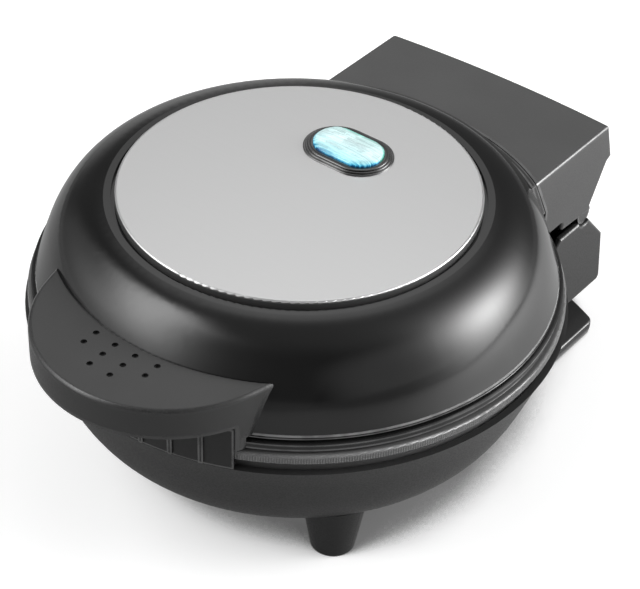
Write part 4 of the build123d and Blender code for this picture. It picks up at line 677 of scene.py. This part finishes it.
SCREW_NODES = {
    # whether the screws stand upright or point at the body axis, and the body that carries them
    "foot_screws": (True, "base"),
    "tongue_screws": (True, "base"),
    "lower_plate_screws": (True, "base"),
    "lower_housing_screws": (False, "base"),
    "upper_plate_screws": (True, "lid"),
    "upper_housing_screws": (False, "lid"),
    "handle_screws": (False, "lid"),
    "lamp_holder_screws": (True, "lid"),
}
SHARED_FINISHES = {
    "upper_plate": "lower_plate",
    "upper_element": "lower_element",
    "upper_reflector": "lower_reflector",
    "upper_leads": "inner_leads",
    **dict.fromkeys(SCREW_NODES, "lower_plate_screws"),
}


def dress_nodes():
    """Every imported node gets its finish."""
    for name, obj in nodes.items():
        material = FINISHES[SHARED_FINISHES.get(name, name)]
        for slot in obj.material_slots:
            slot.material = material


# ----------------------------------------------------------------------
# Geometry trees: screws and the ribs of the trim ring, in metres
# ----------------------------------------------------------------------
SCREW_SIDES = 32
WELD = 1e-5  # corners of a screw nearer than this are one
SAME_CORNER = 1e-6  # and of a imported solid
SHARP_ANGLE = 30.0
THREAD_PITCH = 0.0011
THREAD_CORE = 0.8  # core of the thread, as a part of its radius
HEAD_FLAT = 0.8  # top of the head, as a part of its radius
HEAD_SIDE = 0.5  # straight part of the head's height
RECESS_REACH = 0.62  # arm of the cross, as a part of the head's radius
RECESS_WIDTH = 0.24
RECESS_DEPTH = 0.62  # as a part of the head's height
RIB_PITCH = 0.0009
RIB_PROUD = 0.00009  # height of a rib over the face
RIB_WIDTH = 0.55  # as a part of the pitch
RING_BAND = (0.0652, 0.069)  # foot and top of the ring's outer face
RING_EDGE = 0.0007  # rounding at its foot and top


def new_geometry_tree(name, inputs):
    """Empty geometry tree with a named input for each size, and its two end nodes."""
    tree = bpy.data.node_groups.new(name, "GeometryNodeTree")
    tree.interface.new_socket("Geometry", in_out="INPUT", socket_type="NodeSocketGeometry")
    for label, kind in inputs:
        tree.interface.new_socket(label, in_out="INPUT", socket_type="NodeSocket" + kind)
    tree.interface.new_socket("Geometry", in_out="OUTPUT", socket_type="NodeSocketGeometry")
    return tree, tree.nodes.new("NodeGroupInput"), tree.nodes.new("NodeGroupOutput")


def scaled(tree, value, factor):
    return maths(tree, "MULTIPLY", value, factor)


def vector(tree, x=0.0, y=0.0, z=0.0):
    return add(tree, "ShaderNodeCombineXYZ", {0: x, 1: y, 2: z}).outputs[0]


def moved(tree, geometry, **placing):
    """Geometry with a translation, rotation or scale."""
    inputs = {"Geometry": geometry}
    inputs.update({key.title(): value for key, value in placing.items()})
    return add(tree, "GeometryNodeTransform", inputs).outputs[0]


def joined(tree, *parts):
    node = tree.nodes.new("GeometryNodeJoinGeometry")
    for part in reversed(parts):
        tree.links.new(part, node.inputs[0])
    return node.outputs[0]


def welded(tree, *parts):
    """Parts joined, their common corners made one."""
    inputs = {"Geometry": joined(tree, *parts), "Distance": WELD}
    return add(tree, "GeometryNodeMergeByDistance", inputs).outputs[0]


def cone_wall(tree, foot_r, top_r, height, lift):
    """Wall of a cone with no ends, its foot that far up the axis."""
    inputs = {"Vertices": SCREW_SIDES, "Radius Top": top_r, "Radius Bottom": foot_r, "Depth": height}
    wall = add(tree, "GeometryNodeMeshCone", inputs, fill_type="NONE").outputs["Mesh"]
    return moved(tree, wall, translation=vector(tree, z=lift))


def round_face(tree, radius):
    inputs = {"Vertices": SCREW_SIDES, "Radius": radius}
    return add(tree, "GeometryNodeMeshCircle", inputs, fill_type="NGON").outputs[0]


def flipped(tree, mesh):
    return add(tree, "GeometryNodeFlipFaces", {"Mesh": mesh}).outputs[0]


def on_points(tree, points, piece, **inputs):
    """One instance of a piece on each point."""
    inputs.update({"Points": points, "Instance": piece})
    return add(tree, "GeometryNodeInstanceOnPoints", inputs).outputs[0]


def realized(tree, instances):
    return add(tree, "GeometryNodeRealizeInstances", {"Geometry": instances}).outputs[0]


def finish_tree(tree, instances, into, out):
    """Instances made real and given their material."""
    inputs = {"Geometry": realized(tree, instances), "Material": into.outputs["Material"]}
    done = add(tree, "GeometryNodeSetMaterial", inputs).outputs[0]
    tree.links.new(done, out.inputs[0])
    return tree


def make_cross_screw():
    """Pan-head screw with a cross recess and a threaded shank, one on each seat of the base mesh."""
    tree, into, out = new_geometry_tree(
        "cross_screw",
        (
            ("Head Radius", "Float"),
            ("Head Height", "Float"),
            ("Shank Radius", "Float"),
            ("Shank Length", "Float"),
            ("Material", "Material"),
        ),
    )
    head_r, head_h = into.outputs["Head Radius"], into.outputs["Head Height"]
    shank_r, shank_l = into.outputs["Shank Radius"], into.outputs["Shank Length"]
    # head, from its flat at -height up to the seat at 0
    flat_z, flat_r = scaled(tree, head_h, -1), scaled(tree, head_r, HEAD_FLAT)
    crown = cone_wall(tree, flat_r, head_r, scaled(tree, head_h, 1 - HEAD_SIDE), flat_z)
    side_h, side_z = scaled(tree, head_h, HEAD_SIDE), scaled(tree, head_h, -HEAD_SIDE)
    side = cone_wall(tree, head_r, head_r, side_h, side_z)
    flat = flipped(tree, round_face(tree, flat_r))
    flat = moved(tree, flat, translation=vector(tree, z=flat_z))
    head = welded(tree, crown, side, flat, round_face(tree, head_r))
    # cross recess
    arm = scaled(tree, head_r, 2 * RECESS_REACH)
    width = scaled(tree, head_r, RECESS_WIDTH)
    deep = scaled(tree, head_h, 2 * RECESS_DEPTH)
    cut = add(tree, "GeometryNodeMeshBoolean", {"Mesh 1": head}, operation="DIFFERENCE", solver="EXACT")
    for size in (vector(tree, arm, width, deep), vector(tree, width, arm, deep)):
        bar = add(tree, "GeometryNodeMeshCube", {"Size": size}).outputs["Mesh"]
        tree.links.new(moved(tree, bar, translation=vector(tree, z=flat_z)), cut.inputs["Mesh 2"])
    # threaded shank, its ridges stacked along the axis
    turns = maths(tree, "ROUND", maths(tree, "DIVIDE", shank_l, THREAD_PITCH))
    turns = maths(tree, "MAXIMUM", turns, 1.0)
    pitch = maths(tree, "DIVIDE", shank_l, turns)
    half_pitch = scaled(tree, pitch, 0.5)
    core_r = scaled(tree, shank_r, THREAD_CORE)
    ridge = joined(
        tree,
        cone_wall(tree, core_r, shank_r, half_pitch, 0.0),
        cone_wall(tree, shank_r, core_r, half_pitch, half_pitch),
    )
    step = {"Count": turns, "Offset": vector(tree, z=pitch)}
    stack = add(tree, "GeometryNodeMeshLine", step, mode="OFFSET").outputs[0]
    ridges = realized(tree, on_points(tree, stack, ridge))
    foot = flipped(tree, round_face(tree, core_r))
    tip = moved(tree, round_face(tree, core_r), translation=vector(tree, z=shank_l))
    screw = joined(tree, cut.outputs[0], welded(tree, ridges, foot, tip))
    # one on each seat, turned to its axis
    named = add(tree, "GeometryNodeInputNamedAttribute", {"Name": "axis"}, data_type="FLOAT_VECTOR")
    axis = named.outputs[0]
    turn = add(tree, "FunctionNodeAlignRotationToVector", {"Vector": axis}, axis="Z").outputs[0]
    return finish_tree(tree, on_points(tree, into.outputs["Geometry"], screw, Rotation=turn), into, out)


def make_ring_ribs():
    """Fine upright ribs round the outer face of the trim ring, one on each point of the base mesh."""
    tree, into, out = new_geometry_tree(
        "ring_ribs",
        (
            ("Rib Width", "Float"),
            ("Rib Depth", "Float"),
            ("Rib Height", "Float"),
            ("Material", "Material"),
        ),
    )
    size = vector(tree, *(into.outputs["Rib " + key] for key in ("Depth", "Width", "Height")))
    # a rod with four sides, so that one of its edges points outwards
    rod = add(tree, "GeometryNodeMeshCylinder", {"Vertices": 4, "Radius": 1.0, "Depth": 1.0})
    rib = moved(tree, rod.outputs["Mesh"], scale=size)
    point = add(tree, "GeometryNodeInputPosition").outputs[0]
    level = vector_maths(tree, "MULTIPLY", point, (1.0, 1.0, 0.0))
    outward = vector_maths(tree, "SUBTRACT", level, tuple(body_axis))
    turn = add(tree, "FunctionNodeAlignRotationToVector", {"Vector": outward}, axis="X").outputs[0]
    return finish_tree(tree, on_points(tree, into.outputs["Geometry"], rib, Rotation=turn), into, out)


def made_by(tree, name, base_mesh, values):
    """Plain mesh object that a geometry tree makes from a base mesh of points."""
    base = new_object(name + "_points", base_mesh)
    modifier = base.modifiers.new("tree", "NODES")
    modifier.node_group = tree
    for socket in tree.interface.items_tree:
        if socket.in_out == "INPUT" and socket.name in values:
            modifier[socket.identifier] = values[socket.name]
    graph = bpy.context.evaluated_depsgraph_get()
    mesh = bpy.data.meshes.new_from_object(base.evaluated_get(graph), depsgraph=graph)
    mesh.name = name
    bpy.data.objects.remove(base)
    mesh.shade_smooth()
    mesh.set_sharp_from_angle(angle=radians(SHARP_ANGLE))
    return new_object(name, mesh)


def islands(mesh):
    """Loose parts of a mesh, in its own order, each as a list of its corners."""
    copy = bmesh.new()
    copy.from_mesh(mesh)
    bmesh.ops.remove_doubles(copy, verts=copy.verts, dist=SAME_CORNER)
    copy.verts.index_update()
    seen, parts = set(), []
    for start in copy.verts:
        if start.index in seen:
            continue
        seen.add(start.index)
        part, front = [], [start]
        while front:
            corner = front.pop()
            part.append(corner.co.copy())
            others = [edge.other_vert(corner) for edge in corner.link_edges]
            fresh = [other for other in others if other.index not in seen]
            seen.update(other.index for other in fresh)
            front.extend(fresh)
        parts.append(part)
    copy.free()
    return parts


def screw_seats(corners, upright):
    """Seat, axis from head to tip, and sizes of a screw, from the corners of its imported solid.

    The sizes are the head's radius and height and the shank's radius and length.
    """
    low = Vector([min(c[i] for c in corners) for i in range(3)])
    high = Vector([max(c[i] for c in corners) for i in range(3)])
    middle = (low + high) / 2
    axis = UP
    if not upright:
        axis = Vector((middle.x - body_axis.x, middle.y - body_axis.y, 0.0)).normalized()
    along = [(c - middle).dot(axis) for c in corners]
    beside = [((c - middle) - axis * t).length for c, t in zip(corners, along)]
    head_r, shank_r = max(beside), min(beside)
    split = (head_r + shank_r) / 2
    head = [t for t, r in zip(along, beside) if r > split]
    shank = [t for t, r in zip(along, beside) if r <= split]
    if sum(head) / len(head) > sum(shank) / len(shank):
        axis, head, shank = -axis, [-t for t in head], [-t for t in shank]
    seat = middle + axis * max(head)
    return seat, axis, (head_r, max(head) - min(head), shank_r, max(shank) - max(head))


def make_screws():
    """Cross-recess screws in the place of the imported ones."""
    tree = make_cross_screw()
    labels = ("Head Radius", "Head Height", "Shank Radius", "Shank Length")
    for node, (upright, body) in SCREW_NODES.items():
        seats = [screw_seats(corners, upright) for corners in islands(nodes[node].data)]
        base = bpy.data.meshes.new(node + "_seats")
        base.from_pydata([seat for seat, _, _ in seats], [], [])
        axes = base.attributes.new("axis", "FLOAT_VECTOR", "POINT")
        for i, (_, axis, _) in enumerate(seats):
            axes.data[i].vector = axis
        values = dict(zip(labels, seats[0][2]))
        values["Material"] = FINISHES["lower_plate_screws"]
        piece = made_by(tree, node + "_cross", base, values)
        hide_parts(node)
        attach(piece, body)


def make_ribs():
    """Ribs on the trim ring's outer face, between its rounded edges."""
    ring_low, ring_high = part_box("base_ring")
    ring_r = (ring_high.x - ring_low.x) / 2
    foot, top = RING_BAND
    middle_z = (foot + top) / 2
    count = round(2 * pi * ring_r / RIB_PITCH)
    turns = [2 * pi * i / count for i in range(count)]
    places = [body_axis + Vector((ring_r * cos(t), ring_r * sin(t), middle_z)) for t in turns]
    base = bpy.data.meshes.new("ring_rib_places")
    base.from_pydata(places, [], [])
    values = {
        "Rib Width": RIB_PITCH * RIB_WIDTH / 2,
        "Rib Depth": RIB_PROUD,
        "Rib Height": top - foot - 2 * RING_EDGE,
        # the ribs take the ring's finish, so their ridges get its painted highlight
        "Material": FINISHES["base_ring"],
    }
    piece = made_by(make_ring_ribs(), "ring_ribs", base, values)
    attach(piece, "base")


# ----------------------------------------------------------------------
# Floor and world
# ----------------------------------------------------------------------
FLOOR_HALF = 0.8
FLOOR_WHITE = 0.8  # as the camera sees it
PAPER_GRAIN = 300.0  # per metre
PAPER_SWING = 0.02
FLOOR_BOUNCE = 0.3  # as it lights the object
FLOOR_GLOW = 0.45  # light of its own, for the camera
FLOOR_ROUGHNESS = 0.9
FLOOR_SHEEN = 0.1  # glow that shows in polished surfaces
POOL_MIDDLE = toward(122.0) * 0.56  # of the pool of light under the right soft box
POOL_REACH = 0.3
POOL_LEVEL = 2.0
CONTACT_REACH = 0.12
CONTACT_LEAN = 0.35  # how far the openness at the floor is felt towards the left
CONTACT_RAYS = 32
CONTACT_RANGE = (0.27, 0.41)  # openness where the shade is full, and where it ends
CONTACT_SHADE = 0.2


def fading(tree, distance):
    """Light that fades as a distance grows, from 1 at none."""
    return maths(tree, "EXPONENT", maths(tree, "MULTIPLY", distance, -1.0))


def make_floor():
    """Pale paper floor, with the object's contact shade and a soft pool of light in it."""
    mesh = bpy.data.meshes.new("floor")
    corners = ((-1, -1), (1, -1), (1, 1), (-1, 1))
    mesh.from_pydata([(x * FLOOR_HALF, y * FLOOR_HALF, 0.0) for x, y in corners], [], [(0, 1, 2, 3)])
    floor = new_object("floor", mesh)
    material, tree, bsdf = start_material("floor_white")
    path = add(tree, "ShaderNodeLightPath")
    seen = maths(tree, "MAXIMUM", path.outputs["Is Camera Ray"], path.outputs["Is Transmission Ray"])
    lean = (UP - level_right(CAMERA_AZIMUTH) * CONTACT_LEAN).normalized()
    inputs = {"Distance": CONTACT_REACH, "Normal": vector(tree, *lean)}
    openness = add(tree, "ShaderNodeAmbientOcclusion", inputs, samples=CONTACT_RAYS)
    contact = ramp(tree, openness.outputs["AO"], *CONTACT_RANGE, CONTACT_SHADE, 1.0)
    paper = noise(tree, object_point(tree), PAPER_GRAIN, detail=2.0)
    white = mix(tree, paper, grey(FLOOR_WHITE - PAPER_SWING), grey(FLOOR_WHITE))
    shaded = mix(tree, contact, grey(0.0), white)
    tree.links.new(mix(tree, seen, grey(FLOOR_BOUNCE), shaded), bsdf.inputs["Base Color"])
    bsdf.inputs["Roughness"].default_value = FLOOR_ROUGHNESS
    bsdf.inputs["Specular IOR Level"].default_value = 0.0
    # open from below, so that the underside can be looked at
    below = add(tree, "ShaderNodeNewGeometry").outputs["Backfacing"]
    clear = add(tree, "ShaderNodeBsdfTransparent").outputs[0]
    one_sided = add(tree, "ShaderNodeMixShader", {0: below, 1: bsdf.outputs[0], 2: clear})
    tree.links.new(one_sided.outputs[0], tree.nodes["Material Output"].inputs["Surface"])
    bsdf.inputs["Emission Color"].default_value = grey(1.0)
    away = vector_maths(tree, "LENGTH", object_point(tree, (1 / POOL_REACH,) * 3, POOL_MIDDLE))
    faded = fading(tree, maths(tree, "MULTIPLY", away, away))
    lit = maths(tree, "MULTIPLY_ADD", faded, POOL_LEVEL, FLOOR_SHEEN)
    sheen = maths(tree, "MULTIPLY", path.outputs["Is Glossy Ray"], lit)
    glow = maths(tree, "MULTIPLY_ADD", maths(tree, "MULTIPLY", seen, contact), FLOOR_GLOW, sheen)
    tree.links.new(glow, bsdf.inputs["Emission Strength"])
    mesh.materials.append(material)


SKY_TOP = 0.2
SKY_LEVEL = 0.11
SKY_FRONT = 0.06
SKY_RIGHT = 0.42
SKY_FLOOR = 0.2  # pale floor beyond its edge, as polished surfaces show it
TOP_SPAN = (0.6, 0.95)  # rise where the top's level sets in, and where it is full
FRONT_SIDE = (25.0, 20.0)
FRONT_SPAN = (0.5, 0.95)
RIGHT_SIDE = (85.0, 15.0)
RIGHT_SPAN = (0.75, 0.97)
LEFT_FLAG = (-24.0, 0.1, 0.335)  # azimuth of its normal, and where its soft edge starts and ends
TOP_FLAG = (0.885, 0.977)  # rise of its soft edge
SOFT_BOXES = (
    # azimuth, elevation, turn, reach along and across, level, fade, and whether the flags cut it
    (-64.0, 55.9, 36.0, 0.61, 0.265, 4.2, 1.14, True),
    (-45.4, 23.4, -78.6, 0.42, 0.5, 1.8, 0.92, True),
    (130.5, 21.2, 24.4, 0.31, 0.38, 11.4, 1.0, False),
    (128.0, -3.0, 0.0, 0.5, 0.18, 0.5, 1.45, False),
    (-143.0, 50.0, 0.0, 0.27, 0.28, 1.3, 1.45, False),
    (-132.0, 3.0, 0.0, 0.27, 0.2, 0.45, 1.45, False),
)


def soft_box(tree, ray, flag, azimuth, elevation, turn, along, across, level, fade, flagged):
    """Light of a soft box that fades out from its middle, as seen along a ray.

    turn tilts the box about its middle, and fade is how abruptly it ends.
    """
    middle = toward(azimuth, elevation)
    right = level_right(azimuth)
    up = right.cross(middle)
    a = radians(turn)
    axis_along = (right * cos(a) + up * sin(a)) / along
    axis_across = (up * cos(a) - right * sin(a)) / across
    spread = 0.0
    for axis in (axis_along, axis_across):
        part = vector_maths(tree, "DOT_PRODUCT", ray, tuple(axis))
        spread = maths(tree, "MULTIPLY_ADD", part, part, spread)
    ahead = vector_maths(tree, "DOT_PRODUCT", ray, tuple(middle))
    shown = maths(tree, "MULTIPLY", maths(tree, "GREATER_THAN", ahead, 0.0), level)
    if flagged:
        shown = maths(tree, "MULTIPLY", shown, flag)
    return maths(tree, "MULTIPLY", fading(tree, maths(tree, "POWER", spread, fade)), shown)


def facing(tree, ray, side, low, high):
    """How far a ray looks to one side of the studio."""
    return ramp(tree, vector_maths(tree, "DOT_PRODUCT", ray, tuple(toward(*side))), low, high)


def make_world():
    """White for the camera, and for all else a dim studio with its soft boxes."""
    world = bpy.data.worlds.new("studio")
    world.use_nodes = True
    tree = world.node_tree
    path = add(tree, "ShaderNodeLightPath")
    ray = add(tree, "ShaderNodeTexCoord").outputs["Generated"]
    rise = add(tree, "ShaderNodeSeparateXYZ", {0: ray}).outputs["Z"]
    dim = mix(tree, ramp(tree, rise, *TOP_SPAN), grey(SKY_LEVEL), grey(SKY_TOP))
    dim = mix(tree, facing(tree, ray, FRONT_SIDE, *FRONT_SPAN), dim, grey(SKY_FRONT))
    dim = mix(tree, facing(tree, ray, RIGHT_SIDE, *RIGHT_SPAN), dim, grey(SKY_RIGHT))
    glossy, through = path.outputs["Is Glossy Ray"], path.outputs["Is Transmission Ray"]
    mirrored = maths(tree, "MAXIMUM", glossy, through)
    floor_seen = maths(tree, "MULTIPLY", mirrored, maths(tree, "LESS_THAN", rise, 0.0))
    studio = mix(tree, floor_seen, dim, grey(SKY_FLOOR))
    flag_side, flag_low, flag_high = LEFT_FLAG
    left_flag = facing(tree, ray, (flag_side, 0.0), flag_low, flag_high)
    flag = maths(tree, "MULTIPLY", left_flag, ramp(tree, rise, *TOP_FLAG, 1.0, 0.0))
    for box in SOFT_BOXES:
        studio = vector_maths(tree, "ADD", studio, soft_box(tree, ray, flag, *box))
    seen = mix(tree, path.outputs["Is Camera Ray"], studio, grey(1.0))
    tree.links.new(seen, tree.nodes["Background"].inputs["Color"])
    bpy.context.scene.world = world


make_camera()
dress_nodes()
make_screws()
make_ribs()
make_world()
make_floor()
bpy.context.scene.view_settings.view_transform = "Standard"
